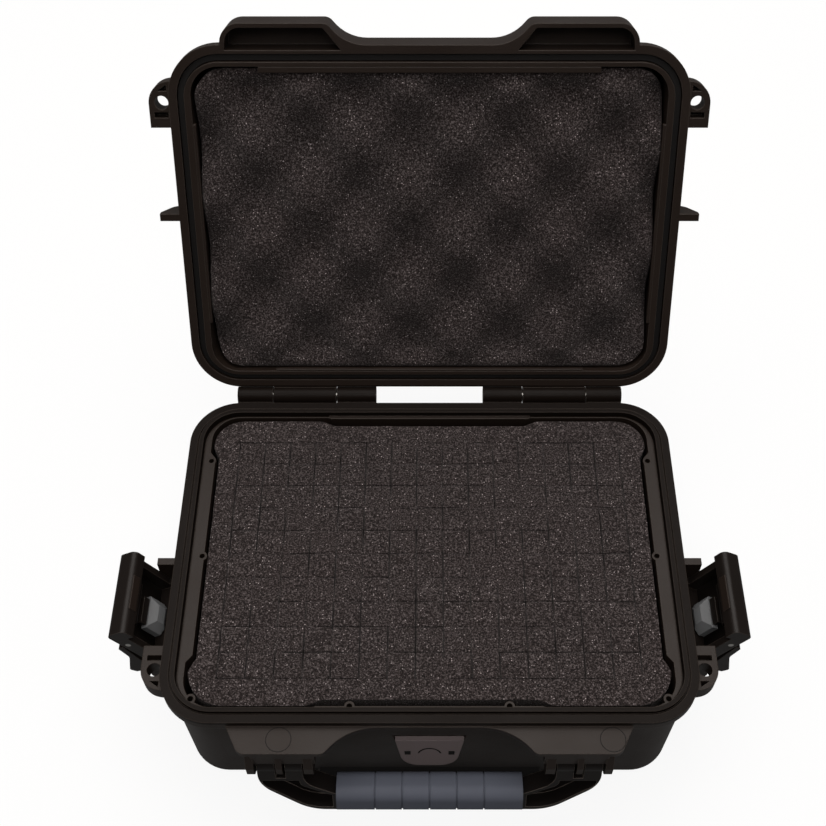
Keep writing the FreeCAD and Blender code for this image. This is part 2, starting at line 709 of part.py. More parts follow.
def valve_outline(grow, top):
    """The shield outline of the valve cover, its sides run on up to a height, grown by a clearance."""
    low = d.valve_low - grow
    shoulder = d.valve_half_low + grow
    spread = (d.valve_half_top - d.valve_half_low) / (d.valve_top - d.valve_low)
    head = shoulder + spread * (top - low)
    return [(-head, top), (-shoulder, low, d.valve_round), (shoulder, low, d.valve_round), (head, top)]


valve_face = rim_front + d.valve_seat
retainer_face = valve_face + d.retainer_thickness
membrane_face = retainer_face + d.membrane_thickness


def base_valve_seat(body):
    recess = valve_outline(d.valve_fit, d.valve_top + d.valve_recess_rise)
    pocket(body, "valve_recess", "XZ", rim_front, valve_face, recess)
    counterbore = Round(parting * 0, d.valve_centre_z, d.membrane_radius + d.valve_fit)
    pocket(body, "membrane_seat", "XZ", valve_face, membrane_face, counterbore)
    inside = rim_front + d.cavity_inset_front + d.cavity_draft
    hole = Round(parting * 0, d.valve_centre_z, d.breather_radius)
    pocket(body, "breather", "XZ", membrane_face, inside, hole)


def make_base_shell():
    body = new_body("base_shell")
    base_walls(body)
    base_ears(body)
    base_posts(body)
    base_hinges(body)
    base_brackets(body)
    base_cavity(body)
    base_rails(body)
    base_screws(body)
    base_valve_seat(body)
    return body


# Lid shell, drawn shut
def lid_walls(body):
    wall = d.flange_overhang
    loft(body, "PartDesign::AdditiveLoft", "wall", [
        (lid_flange_top, even_rim(wall)),
        (lid_top, even_rim(wall + d.lid_draft)),
    ])
    fillet(body, "top_rounding", d.lid_round, lies_at_height(lid_top))
    pad(body, "flange", "XY", parting, lid_flange_top, even_rim(parting * 0))


brow_front = rim_front - d.brow_reach


def brow_outline():
    """Right half of the two brows above the handle brackets."""
    root = rim_front + d.flange_overhang * 2
    return [(d.brow_outer, root), (d.brow_outer, rim_front), (d.brow_outer_front, brow_front, d.brow_round),
            (d.shelf_inner_front, brow_front, d.shelf_corner), (d.brow_waist, rim_front, d.brow_waist_round)]


def brow_pocket():
    back = rim_front + d.brow_pocket_inset
    front = brow_front + d.brow_wall
    return [(d.brow_outer - d.brow_wall, back),
            (d.brow_outer_front - d.brow_wall, front, d.brow_round - d.brow_wall),
            (d.shelf_inner_front + d.brow_wall, front, d.brow_wall), (d.brow_waist + d.brow_wall, back)]


def lid_brows(body):
    top = parting + d.brow_height
    half = brow_outline()
    pad(body, "brows", "XY", parting, top, half + mirrored(half, -1)[::-1])
    pocket(body, "brow_pockets", "XY", parting, top - d.brow_roof, *both(brow_pocket()))


def lid_cavity(body):
    roof = lid_top - d.roof_thickness
    pad(body, "ridge", "XY", parting - d.ridge_drop, parting, even_rim(ridge_outer))
    loft(body, "PartDesign::SubtractiveLoft", "cavity", [
        (parting - d.ridge_drop, rim(d.cavity_inset_side, ridge_outer + d.ridge_width, d.cavity_corner)),
        (roof, rim(d.cavity_inset_side + d.cavity_draft, ridge_outer + d.ridge_width + d.cavity_draft,
                   d.cavity_corner - d.cavity_draft)),
    ])
    pocket(body, "gasket_groove", "XY", parting, parting + d.groove_depth,
           even_rim(d.groove_inset), even_rim(ridge_outer))


def make_lid_shell():
    body = new_body("lid_shell")
    lid_walls(body)
    lid_brows(body)
    root = rim_edge - d.post_root
    low = parting + d.lid_ear_set_back
    fin = [(root, parting), (ear_tip, parting), (ear_tip, parting + 3.0, 1.0),
           (ear_tip - 5.0, parting + d.fin_height - 3.0, 6.0), (root, parting + d.fin_height)]
    pad(body, "ears", "XY", low, low + d.ear_thickness, *both(ear_outline()))
    pocket(body, "ear_pockets", "XY", low, low + d.ear_pocket_depth, *both(*ear_pockets()))
    pocket(body, "padlock_holes", "XY", low, low + d.ear_thickness, *both(padlock_hole()))
    pad(body, "fins", "XZ", d.rear_post_front, rear_post_back, *both(fin))
    for name, side in SIDES.items():
        knuckle(body, "knuckle_" + name, d.hinge_lid_start, d.hinge_lid_end, side, 1)
    knuckle_bores(body)
    lid_cavity(body)
    return body


def make_gasket():
    body = new_body("lid_gasket")
    top = parting + d.groove_depth
    outer = d.groove_inset + d.gasket_side_gap
    inner = ridge_outer - d.gasket_side_gap
    pad(body, "ring", "XY", top - d.gasket_height, top, even_rim(outer), even_rim(inner))
    return body


# Pins
def make_pin(name, plane, low, high, u, v, radius):
    body = new_body(name)
    pad(body, "pin", plane, low, high, Round(u, v, radius))
    return body


def make_hinge_pin(name, side):
    low, high = span(d.hinge_inner, d.hinge_outer, side)
    return make_pin("hinge_pin_" + name, "YZ", low, high, hinge_y, parting, d.hinge_pin_radius)


# Carrying handle, drawn hanging straight down
grip_z = d.handle_axis_z - d.handle_drop


def arm_outline():
    """Front view of one arm, from the pivot down to the end of the grip."""
    inner = d.fin_inner_end + d.lug_gap
    outer = d.fin_outer_start - d.lug_gap
    foot = grip_z - d.arm_heel
    return [(inner, d.handle_axis_z), (inner, grip_z + 12.0, 10.0), (d.grip_half, grip_z + 4.0),
            (d.grip_half, foot), (d.grip_half + 12.0, foot, 20.0), (outer, grip_z + 11.0, 16.0),
            (outer, d.handle_axis_z)]


def arm_hollow():
    """The hollow in the front of one arm, a wall inside its outline."""
    wall = d.arm_wall
    inner = d.fin_inner_end + d.lug_gap + wall
    outer = d.fin_outer_start - d.lug_gap - wall
    top = d.handle_axis_z - d.fork_depth - wall
    foot = grip_z - d.arm_heel + wall
    near = d.grip_half + wall
    return [(inner, top), (inner, grip_z + 11.0, 4.0), (near, grip_z + 3.2), (near, foot),
            (d.grip_half + 12.0, foot, 18.0), (outer, grip_z + 11.0, 6.0), (outer, top)]


def make_handle_frame():
    body = new_body("handle_frame")
    half_arm = d.arm_thickness / 2
    inner = d.fin_inner_end + d.lug_gap
    outer = d.fin_outer_start - d.lug_gap
    pad(body, "core", "YZ", -d.grip_half, d.grip_half,
        box(handle_y - d.core_depth / 2, handle_y + d.core_depth / 2,
            grip_z - d.core_height / 2, grip_z + d.core_height / 2))
    for name, side in SIDES.items():
        low, high = span(inner, outer, side)
        pad(body, "arm_" + name, "XZ", handle_y - half_arm, handle_y + half_arm,
            mirrored(arm_outline(), side))
        pad(body, "lugs_" + name, "YZ", low, high, Round(handle_y, d.handle_axis_z, d.lug_radius))
        fork = box(d.fin_middle_start - d.lug_gap, d.fin_middle_end + d.lug_gap,
                   d.handle_axis_z - d.fork_depth, d.handle_axis_z + d.lug_radius)
        pocket(body, "hollow_" + name, "XZ", handle_y - half_arm, handle_y + half_arm - d.arm_wall,
               mirrored(arm_hollow(), side))
        pocket(body, "fork_" + name, "XZ", handle_y - d.lug_radius, handle_y + d.lug_radius,
               mirrored(fork, side))
        bore = Round(handle_y, d.handle_axis_z, d.handle_pin_radius + d.pin_clearance)
        pocket(body, "bore_" + name, "YZ", low, high, bore)
    return body


def make_handle_grip():
    body = new_body("handle_grip")
    half_depth = d.grip_depth / 2
    half_height = d.grip_height / 2

    def section(grow):
        return [(handle_y - half_depth - grow, grip_z - half_height - grow, d.grip_round),
                (handle_y + half_depth + grow, grip_z - half_height - grow, d.grip_round),
                (handle_y + half_depth + grow, grip_z + half_height + grow, d.grip_round),
                (handle_y - half_depth - grow, grip_z + half_height + grow, d.grip_round)]

    pad(body, "grip", "YZ", -d.grip_half, d.grip_half, section(0.0))
    bore_y = d.core_depth / 2 + d.core_fit
    bore_z = d.core_height / 2 + d.core_fit
    pocket(body, "core_bore", "YZ", -d.grip_half, d.grip_half,
           box(handle_y - bore_y, handle_y + bore_y, grip_z - bore_z, grip_z + bore_z))
    first = -(d.grip_groove_count - 1) / 2 * d.grip_groove_pitch - d.grip_groove_width / 2
    groove = pocket(body, "groove", "YZ", first, first + d.grip_groove_width,
                    section(0.5), section(-d.grip_groove_depth))
    repeat(body, "grooves", groove, "X_Axis", d.grip_groove_pitch, d.grip_groove_count)
    return body


def repeat(body, name, feature, axis, pitch, count):
    """Repeats a feature along one of the body's own axes."""
    pattern = body.newObject("PartDesign::LinearPattern", name)
    pattern.Originals = [feature]
    pattern.Direction = (origin_feature(body, axis), [""])
    bind(pattern, "Length", pitch * (count - 1))
    bind(pattern, "Occurrences", count)
    body.Tip = pattern
    doc.recompute()
    return pattern


# Latches, drawn shut
claw_inner = rim_edge + d.claw_gap
claw_outer = claw_inner + d.claw_thickness
claw_front = d.ear_back + d.latch_side_gap
claw_back = d.rear_post_front - d.latch_side_gap
claw_middle = (claw_front + claw_back) / 2
hook_face = lid_flange_top + d.hook_clearance
hook_top = hook_face + d.hook_height
hook_tip = rim_edge - d.hook_reach
lever_x = claw_outer - d.lever_pivot_inset
stem_inner = (pivot_x + claw_outer) / 2 - d.slider_stem_thickness / 2


def claw_outline():
    low = d.latch_pivot_z - d.claw_boss
    heel = pivot_x - d.claw_boss
    return [(heel, low, d.claw_boss - 0.2), (claw_outer, low, d.claw_boss - 0.2),
            (claw_outer, hook_top, d.hook_round), (hook_tip, hook_top, d.hook_round),
            (hook_tip, hook_face), (claw_inner, hook_face), (claw_inner, d.claw_bridge_top + 3.0),
            (heel, d.claw_bridge_top)]


def make_claw(name, side):
    body = new_body("latch_claw_" + name)
    pad(body, "claw", "XZ", claw_front, claw_back, mirrored(claw_outline(), side))
    window = box(claw_front + d.claw_arm_width, claw_back - d.claw_arm_width,
                 d.claw_bridge_top, hook_face - d.hook_web)
    low, high = span(hook_tip, claw_outer + 1.0, side)
    pocket(body, "window", "YZ", low, high, window)
    stem = box(stem_inner, stem_inner + d.slider_stem_thickness, d.claw_bridge_top - 1.0, d.slider_stem_top)
    pad(body, "stem", "XZ", claw_middle - d.slider_stem_half, claw_middle + d.slider_stem_half,
        mirrored(stem, side))
    pivot = Round(pivot_x * side, d.latch_pivot_z, d.latch_pin_radius + d.pin_clearance)
    pocket(body, "pivot_bore", "XZ", claw_front, claw_back, pivot)
    lever_pivot = Round(lever_x * side, d.lever_pivot_z, d.lever_pin_radius + d.pin_clearance)
    pocket(body, "lever_bore", "XZ", claw_front, claw_back, lever_pivot)
    return body


def make_lever(name, side):
    body = new_body("latch_lever_" + name)
    inner = claw_outer + d.lever_gap
    outer = inner + d.lever_plate
    lip = outer + d.lever_flare
    plate = [(inner, d.lever_top), (outer, d.lever_top, 1.5), (outer, d.lever_flare_z, 6.0),
             (lip, d.lever_lip_z + 3.0, 1.5), (lip - 2.0, d.lever_lip_z), (inner, d.lever_lip_z)]
    pad(body, "plate", "XZ", claw_front, claw_back, mirrored(plate, side))
    barrel_front = claw_middle - d.lever_barrel_half
    barrel_back = claw_middle + d.lever_barrel_half
    web = box(lever_x, inner + 0.5, d.lever_pivot_z - d.lever_barrel_radius, d.lever_pivot_z)
    web[2] = (web[2][0], d.lever_top)
    pad(body, "web", "XZ", barrel_front, barrel_back, mirrored(web, side))
    pad(body, "barrel", "XZ", barrel_front, barrel_back,
        Round(lever_x * side, d.lever_pivot_z, d.lever_barrel_radius))
    bore = Round(lever_x * side, d.lever_pivot_z, d.lever_pin_radius + d.pin_clearance)
    pocket(body, "bore", "XZ", barrel_front, barrel_back, bore)
    return body


def make_slider(name, side):
    """A barrel-shaped thumb slider with faceted faces, slotted on to the claw's guide stem."""
    body = new_body("latch_slider_" + name)
    high = d.slider_low + d.slider_height
    inner = stem_inner - d.slider_inner_reach
    outer = inner + d.slider_depth
    edge = outer - d.slider_edge
    profile = [(inner + 1.0, d.slider_low), (edge, d.slider_low), (outer, d.slider_low + 3.0),
               (outer, high - 3.0), (edge, high), (inner + 2.4, high), (inner, high - 3.4),
               (inner, d.slider_low + 2.0)]
    front = claw_middle - d.slider_half
    back = claw_middle + d.slider_half
    pad(body, "block", "XZ", front, back, mirrored(profile, side))
    slot = box(stem_inner - d.slider_fit, stem_inner + d.slider_stem_thickness + d.slider_fit,
               d.slider_low - 1.0, high + 1.0)
    reach = d.slider_stem_half + d.slider_fit
    pocket(body, "slot", "XZ", claw_middle - reach, claw_middle + reach, mirrored(slot, side))
    for end, tip in (("front", front), ("back", back)):
        inward = 1.0 if end == "front" else -1.0
        corner_low = [(inner, tip), (inner + 3.0, tip), (inner, tip + 4.0 * inward)]
        corner_high = [(outer, tip), (edge, tip), (outer, tip + 3.0 * inward)]
        for i, corner in enumerate((corner_low, corner_high)):
            pocket(body, "%s_taper_%d" % (end, i), "XY", d.slider_low, high, mirrored(corner, side))
    return body


# Valve in the front wall
def make_valve_cover():
    body = new_body("valve_cover")
    top = valve_face - d.valve_thickness
    low = top - d.valve_lean
    pad(body, "shield", "XZ", low, valve_face, valve_outline(0.0, d.valve_top))
    slope = [(low - 1.0, d.valve_top), (top, d.valve_top), (low, d.valve_low), (low - 1.0, d.valve_low)]
    pocket(body, "sloped_face", "YZ", -d.valve_half_top, d.valve_half_top, slope)
    for name, side in SIDES.items():
        x = d.vent_place * side
        vent = box(x - d.vent_half, x + d.vent_half,
                   d.valve_centre_z - d.vent_half, d.valve_centre_z + d.vent_half)
        pocket(body, "vent_" + name, "XZ", low, valve_face, vent)
    return body


def make_valve_membrane():
    body = new_body("valve_membrane")
    pad(body, "disc", "XZ", retainer_face, membrane_face,
        Round(parting * 0, d.valve_centre_z, d.membrane_radius))
    return body


def make_valve_retainer():
    body = new_body("valve_retainer")
    pad(body, "ring", "XZ", valve_face, retainer_face,
        Round(parting * 0, d.valve_centre_z, d.membrane_radius),
        Round(parting * 0, d.valve_centre_z, d.breather_radius))
    return body


# Foam
foam_half_x = rim_edge - d.cavity_inset_side - d.cavity_draft - d.foam_gap
foam_half_y = d.case_half_depth - d.cavity_inset_front - d.cavity_draft - d.foam_gap
egg_half_x = rim_edge - d.cavity_inset_side - d.cavity_draft - d.egg_side_gap
egg_half_y = d.case_half_depth - ridge_outer - d.ridge_width - d.cavity_draft - d.foam_gap


def notched_half():
    """Right half of the cubed foam's outline, from front to back, stepping in along the rails."""
    rail = rim_edge - d.cavity_inset_side - d.side_rail_reach - d.foam_rail_gap
    front = d.case_half_depth - d.cavity_inset_front - d.front_rail_reach - d.foam_front_gap
    step = d.front_rail_half + d.front_rail_slope + 1.0
    long_half = d.side_rail_half + d.side_rail_slope + 1.5
    return [(step, -front), (step + 2.0, -foam_half_y), (foam_half_x, -foam_half_y, d.foam_corner_front),
            (foam_half_x, -long_half), (rail, -long_half + 3.0), (rail, long_half - 3.0),
            (foam_half_x, long_half),
            (foam_half_x, foam_half_y, d.foam_corner_back), (step + 2.0, foam_half_y), (step, front)]


def cubed_outline():
    right = notched_half()
    return right + mirrored(right, -1)[::-1]


def make_cubed_foam():
    body = new_body("base_foam_upper")
    top = ledge - d.foam_top_drop
    pad(body, "block", "XY", d.foam_split, top, cubed_outline())
    half_x = (d.cube_columns - 1) / 2 * d.cube_pitch
    half_y = (d.cube_rows - 1) / 2 * d.cube_pitch
    half_cut = d.cube_cut / 2
    low = top - d.cube_cut_depth
    column = pocket(body, "column_cut", "XY", low, top,
                    box(-half_x - half_cut, -half_x + half_cut, -half_y - half_cut, half_y + half_cut))
    repeat(body, "column_cuts", column, "X_Axis", d.cube_pitch, d.cube_columns)
    row = pocket(body, "row_cut", "XY", low, top,
                 box(-half_x - half_cut, half_x + half_cut, -half_y - half_cut, -half_y + half_cut))
    repeat(body, "row_cuts", row, "Y_Axis", d.cube_pitch, d.cube_rows)
    return body


def make_plain_foam(name, low, high):
    body = new_body(name)
    pad(body, "block", "XY", low, high, rectangle(foam_half_x, foam_half_y, d.foam_corner_back))
    return body


def wave_section(y, swing, middle):
    """A section of the egg-crate foam: flat against the roof, waves of arcs towards the base."""
    back = number(lid_top - d.roof_thickness - d.foam_gap)
    half = number(egg_half_x)
    pitch = number(d.egg_pitch_x)
    first = number(d.egg_first_x) - pitch / 2
    chord = pitch / 2
    radius = (chord ** 2 + swing ** 2) / (2 * abs(swing))

    def height(x):
        step = math.floor((x - first) / pitch)
        centre = first + (step + 0.5) * pitch
        lift = math.sqrt(max(0.0, radius ** 2 - (x - centre) ** 2)) - (radius - abs(swing))
        sign = 1 if (step % 2 == 0) == (swing > 0) else -1
        return middle + sign * lift

    crossings = [first + pitch * k for k in range(-2, 12)]
    stops = [-half] + [x for x in crossings if -half < x < half] + [half]
    points = [FreeCAD.Vector(x, y, middle if 0 < i < len(stops) - 1 else height(x))
              for i, x in enumerate(stops)]
    edges = []
    for start, end in zip(points, points[1:]):
        x = (start.x + end.x) / 2
        edges.append(Part.Arc(start, FreeCAD.Vector(x, y, height(x)), end).toShape())
    corners = [points[-1], FreeCAD.Vector(half, y, back), FreeCAD.Vector(-half, y, back), points[0]]
    edges += [Part.LineSegment(a, b).toShape() for a, b in zip(corners, corners[1:])]
    return Part.Wire(edges)


def make_egg_crate():
    """Egg-crate foam: waves that swap sides from row to row, trimmed to the lid's rounded corners."""
    half = number(egg_half_y)
    rows = int(number(d.egg_rows))
    swing = number(d.egg_depth) / 2
    flat = number(d.egg_flat) / 2
    first = -half + number(d.egg_first_inset)
    places = [first + number(d.egg_pitch_y) * row for row in range(rows)]
    peaks = number(parting + d.egg_peak_drop)
    edge = peaks + number(d.egg_edge_drop)
    sections = [wave_section(-half, flat, edge)]
    sections += [wave_section(y, swing if row % 2 == 0 else -swing, peaks + swing)
                 for row, y in enumerate(places)]
    sections += [wave_section(half, flat if rows % 2 == 0 else -flat, edge)]
    waves = doc.addObject("Part::Feature", "egg_crate_waves")
    waves.Shape = Part.makeLoft(sections, True, False)
    trim = new_body("egg_crate_trim")
    corner = d.cavity_corner + 1.0
    pad(trim, "block", "XY", ledge, lid_top, rectangle(egg_half_x, egg_half_y, corner))
    foam = doc.addObject("Part::Common", "lid_foam")
    foam.Base = waves
    foam.Tool = trim
    doc.recompute()
    return foam


# Placements at rest
def turned(axis, angle, centre):
    return FreeCAD.Placement(FreeCAD.Vector(), FreeCAD.Rotation(axis, angle), centre)


X_AXIS = FreeCAD.Vector(1, 0, 0)
Y_AXIS = FreeCAD.Vector(0, 1, 0)
lid_open = turned(X_AXIS, -number(d.lid_open_angle), FreeCAD.Vector(0, number(hinge_y), number(parting)))
handle_centre = FreeCAD.Vector(0, number(handle_y), number(d.handle_axis_z))
handle_rest = turned(X_AXIS, -number(d.handle_tilt), handle_centre)


def claw_open(side):
    centre = FreeCAD.Vector(number(pivot_x) * side, 0, number(d.latch_pivot_z))
    return turned(Y_AXIS, number(d.claw_open_angle) * side, centre)


def lever_open(side):
    centre = FreeCAD.Vector(number(lever_x) * side, 0, number(d.lever_pivot_z))
    return claw_open(side).multiply(turned(Y_AXIS, -number(d.lever_open_angle) * side, centre))


def build():
    """Makes every sub-part and gives them in a list."""
    still = FreeCAD.Placement()
    made = [
        (make_base_shell(), still),
        (make_lid_shell(), lid_open),
        (make_gasket(), lid_open),
        (make_egg_crate(), lid_open),
        (make_handle_frame(), handle_rest),
        (make_handle_grip(), handle_rest),
        (make_valve_cover(), still),
        (make_valve_membrane(), still),
        (make_valve_retainer(), still),
        (make_cubed_foam(), still),
        (make_plain_foam("base_foam_lower", d.floor_thickness + d.foam_pad_thickness, d.foam_split), still),
        (make_plain_foam("base_foam_pad", d.floor_thickness, d.floor_thickness + d.foam_pad_thickness),
         still),
    ]
    for name, side in SIDES.items():
        made += [
            (make_hinge_pin(name, side), still),
            (make_pin("handle_pin_" + name, "YZ", *span(d.fin_inner_start, d.fin_outer_end, side),
                      handle_y, d.handle_axis_z, d.handle_pin_radius), still),
            (make_pin("latch_pin_" + name, "XZ", post_front, rear_post_back,
                      pivot_x * side, d.latch_pivot_z, d.latch_pin_radius), still),
            (make_claw(name, side), claw_open(side)),
            (make_pin("lever_pin_" + name, "XZ", claw_front, claw_back,
                      lever_x * side, d.lever_pivot_z, d.lever_pin_radius), claw_open(side)),
            (make_slider(name, side), claw_open(side)),
            (make_lever(name, side), lever_open(side)),
        ]
    for item, placement in made:
        item.Placement = placement
    doc.recompute()
    return [item for item, placement in made]


def check(items):
    for item in doc.Objects:
        if "Invalid" in item.State or "Error" in item.State:
            raise ValueError("%s failed: %s" % (item.Name, item.State))
    for item in items:
        if item.Shape.isNull() or not item.Shape.isValid():
            raise ValueError(item.Label + " has no valid shape")


def write(items):
    os.makedirs("parts", exist_ok=True)
    for item in items:
        item.Shape.exportStep("parts/%s.step" % item.Label)
        print("%s %.1f mm3, %d solid" % (item.Label, item.Shape.Volume, len(item.Shape.Solids)))


sub_parts = build()
check(sub_parts)
write(sub_parts)
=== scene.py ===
"""Dresses a small moulded hard case, shown open, in resin, rubber and foam, and lights it in a studio."""
import json
import math

import bmesh
import bpy
import numpy as np
from mathutils import Matrix, Vector, noise


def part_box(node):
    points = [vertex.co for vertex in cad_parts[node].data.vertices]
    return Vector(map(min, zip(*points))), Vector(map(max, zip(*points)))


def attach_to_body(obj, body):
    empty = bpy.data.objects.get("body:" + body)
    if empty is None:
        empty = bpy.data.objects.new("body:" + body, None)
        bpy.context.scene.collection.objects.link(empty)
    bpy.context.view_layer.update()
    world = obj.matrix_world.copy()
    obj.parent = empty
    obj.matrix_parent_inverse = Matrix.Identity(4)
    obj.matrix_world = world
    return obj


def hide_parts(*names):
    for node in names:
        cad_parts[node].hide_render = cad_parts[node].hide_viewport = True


bl_info = {
    "name": "Hard case",
    "version": (1, 0, 0),
    "blender": (4, 5, 0),
    "location": "View3D > Sidebar > Case",
    "description": "Dresses the moulded hard case and lights it in a studio",
    "category": "Object",
}

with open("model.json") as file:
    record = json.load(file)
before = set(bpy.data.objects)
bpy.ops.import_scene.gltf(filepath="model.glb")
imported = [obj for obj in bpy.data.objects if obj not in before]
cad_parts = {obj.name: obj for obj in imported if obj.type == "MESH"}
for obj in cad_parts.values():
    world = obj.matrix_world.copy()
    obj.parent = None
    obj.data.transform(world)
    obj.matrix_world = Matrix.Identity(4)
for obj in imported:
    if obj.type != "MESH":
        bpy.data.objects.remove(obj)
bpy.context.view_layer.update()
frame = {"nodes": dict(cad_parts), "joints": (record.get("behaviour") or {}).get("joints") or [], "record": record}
NODES = frame["nodes"]
MM = 0.001
SIDES = {"left": -1, "right": 1}


def joint(name):
    return next(item for item in frame["joints"] if item["name"] == name)


def opened(name):
    """The turn that brings a piece drawn shut, at the end of its joint's range, to where it is at rest."""
    hinge = joint(name)
    centre = Vector(hinge["pos_m"])
    turn = Matrix.Rotation(math.radians(-hinge["range_deg"][1]), 4, Vector(hinge["axis"]))
    return Matrix.Translation(centre) @ turn @ Matrix.Translation(-centre)


LID_OPEN = opened("lid_hinge")
CLAW_OPEN = {side: opened("claw_" + side) for side in SIDES}


def srgb(code):
    """Linear colour of an sRGB hex value."""
    parts = [int(code[i:i + 2], 16) / 255 for i in (0, 2, 4)]
    return tuple(p / 12.92 if p <= 0.04045 else ((p + 0.055) / 1.055) ** 2.4 for p in parts)


def colour(name, description, code):
    return bpy.props.FloatVectorProperty(name=name, description=description, subtype="COLOR", size=3,
                                         min=0.0, max=1.0, default=srgb(code))


def length(name, description, millimetres):
    return bpy.props.FloatProperty(name=name, description=description, subtype="DISTANCE", unit="LENGTH",
                                   precision=5, default=millimetres * MM)


class CaseColours(bpy.types.PropertyGroup):
    """Colours of the case's materials."""
    resin: colour("Resin", "Black moulded resin of base and lid", "211a16")
    # Painted highlight colour along the resin's edges.
    resin_edge_highlight: colour("Resin edge", "Resin where edges are rubbed", "463f3a")
    latch: colour("Latch resin", "Resin of claws and levers", "181412")
    handle: colour("Handle resin", "Resin of the handle's frame", "141110")
    # Painted highlight colour along the handle frame's edges.
    handle_edge_highlight: colour("Handle edge", "Edges of the handle's frame", "665e58")
    grip: colour("Grip", "Overmoulded grip", "50545f")
    slider: colour("Slider", "Release sliders", "626466")
    valve: colour("Valve cover", "Valve cover's plate", "6f6667")
    gasket: colour("Gasket", "Sealing cord", "141313")
    # Painted highlight colour along the cord's edges.
    gasket_edge_highlight: colour("Gasket edge", "Edges of the sealing cord", "1e1c1c")
    steel: colour("Pins", "Steel of the pins", "b9b8b5")
    film: colour("Film", "Breathing film of the valve", "d8d6cf")
    film_light: colour("Film felt", "Lighter felt of the film", "eceae4")
    foam_dark: colour("Foam cells", "Shaded cells of the foam", "0d0909")
    foam_mid: colour("Foam", "Body of the foam", "292221")
    foam_light: colour("Foam speckle", "Cut cell walls that catch the light", "b8b0b2")
    floor: colour("Floor", "Studio floor", "f6f6f6")
    bounce: colour("Bounce", "Studio floor as the case is lit by it", "606060")


class CaseSizes(bpy.types.PropertyGroup):
    """Sizes of the foam and of the small details."""
    cube_pitch: length("Cube pitch", "Spacing of the cuts in the base foam", 12.7)
    cut_half: length("Cut", "Half width of a cut", 0.35)
    cut_depth: length("Cut depth", "How far a cut gapes", 2.6)
    egg_pitch_x: length("Wave sideways", "Peak to hollow of the lid foam, sideways", 24.0)
    egg_pitch_y: length("Wave front to back", "Peak to hollow of the lid foam, front to back", 25.7)
    egg_depth: length("Wave depth", "Peak to hollow of the lid foam, in depth", 9.0)
    mark: length("Ejector mark", "Radius of the round marks on the handle brackets", 5.5)
    arc: length("Valve arc", "Radius of the arc on the valve cover", 5.2)


def colours():
    return bpy.context.scene.case_colours


def sizes():
    return bpy.context.scene.case_sizes


# Materials
def add(tree, kind, inputs=None, **settings):
    """Adds a node, sets its options, and sets or links its inputs."""
    item = tree.nodes.new(kind)
    for name, value in settings.items():
        setattr(item, name, value)
    for name, value in (inputs or {}).items():
        if isinstance(value, bpy.types.NodeSocket):
            tree.links.new(value, item.inputs[name])
        else:
            item.inputs[name].default_value = value
    return item


def scale(millimetres):
    """A pattern's scale from its real size."""
    return 1000.0 / millimetres


def opaque(value):
    return tuple(value) + (1.0,)


def grey(level):
    return (level, level, level, 1.0)


def times(value, factor):
    return [part * factor for part in value]


def spread(ramp, stops):
    """Sets a colour ramp's stops: (place, colour) pairs."""
    while len(ramp.elements) < len(stops):
        ramp.elements.new(1.0)
    for element, (place, value) in zip(ramp.elements, stops):
        element.position = place
        element.color = value


def new_material(name):
    material = bpy.data.materials.new(name)
    material.use_nodes = True
    material.node_tree.nodes.clear()
    return material, material.node_tree


def rim_shade_mask(tree, place):
    """Mask of the painted shade on the base's sealing rim: 1 on the rim, between the posts of the latches, and 0
    elsewhere.
    """
    low, high, half_width = 0.0730, 0.0800, 0.1203
    spot = add(tree, "ShaderNodeSeparateXYZ", {"Vector": place})
    above = add(tree, "ShaderNodeMath", {0: spot.outputs["Z"], 1: low}, operation="GREATER_THAN")
    below = add(tree, "ShaderNodeMath", {0: spot.outputs["Z"], 1: high}, operation="LESS_THAN")
    wide = add(tree, "ShaderNodeMath", {0: spot.outputs["X"]}, operation="ABSOLUTE")
    within = add(tree, "ShaderNodeMath", {0: wide.outputs["Value"], 1: half_width}, operation="LESS_THAN")
    band = add(tree, "ShaderNodeMath", {0: above.outputs["Value"], 1: below.outputs["Value"]},
               operation="MULTIPLY")
    rim = add(tree, "ShaderNodeMath", {0: band.outputs["Value"], 1: within.outputs["Value"]},
              operation="MULTIPLY")
    return rim.outputs["Value"]


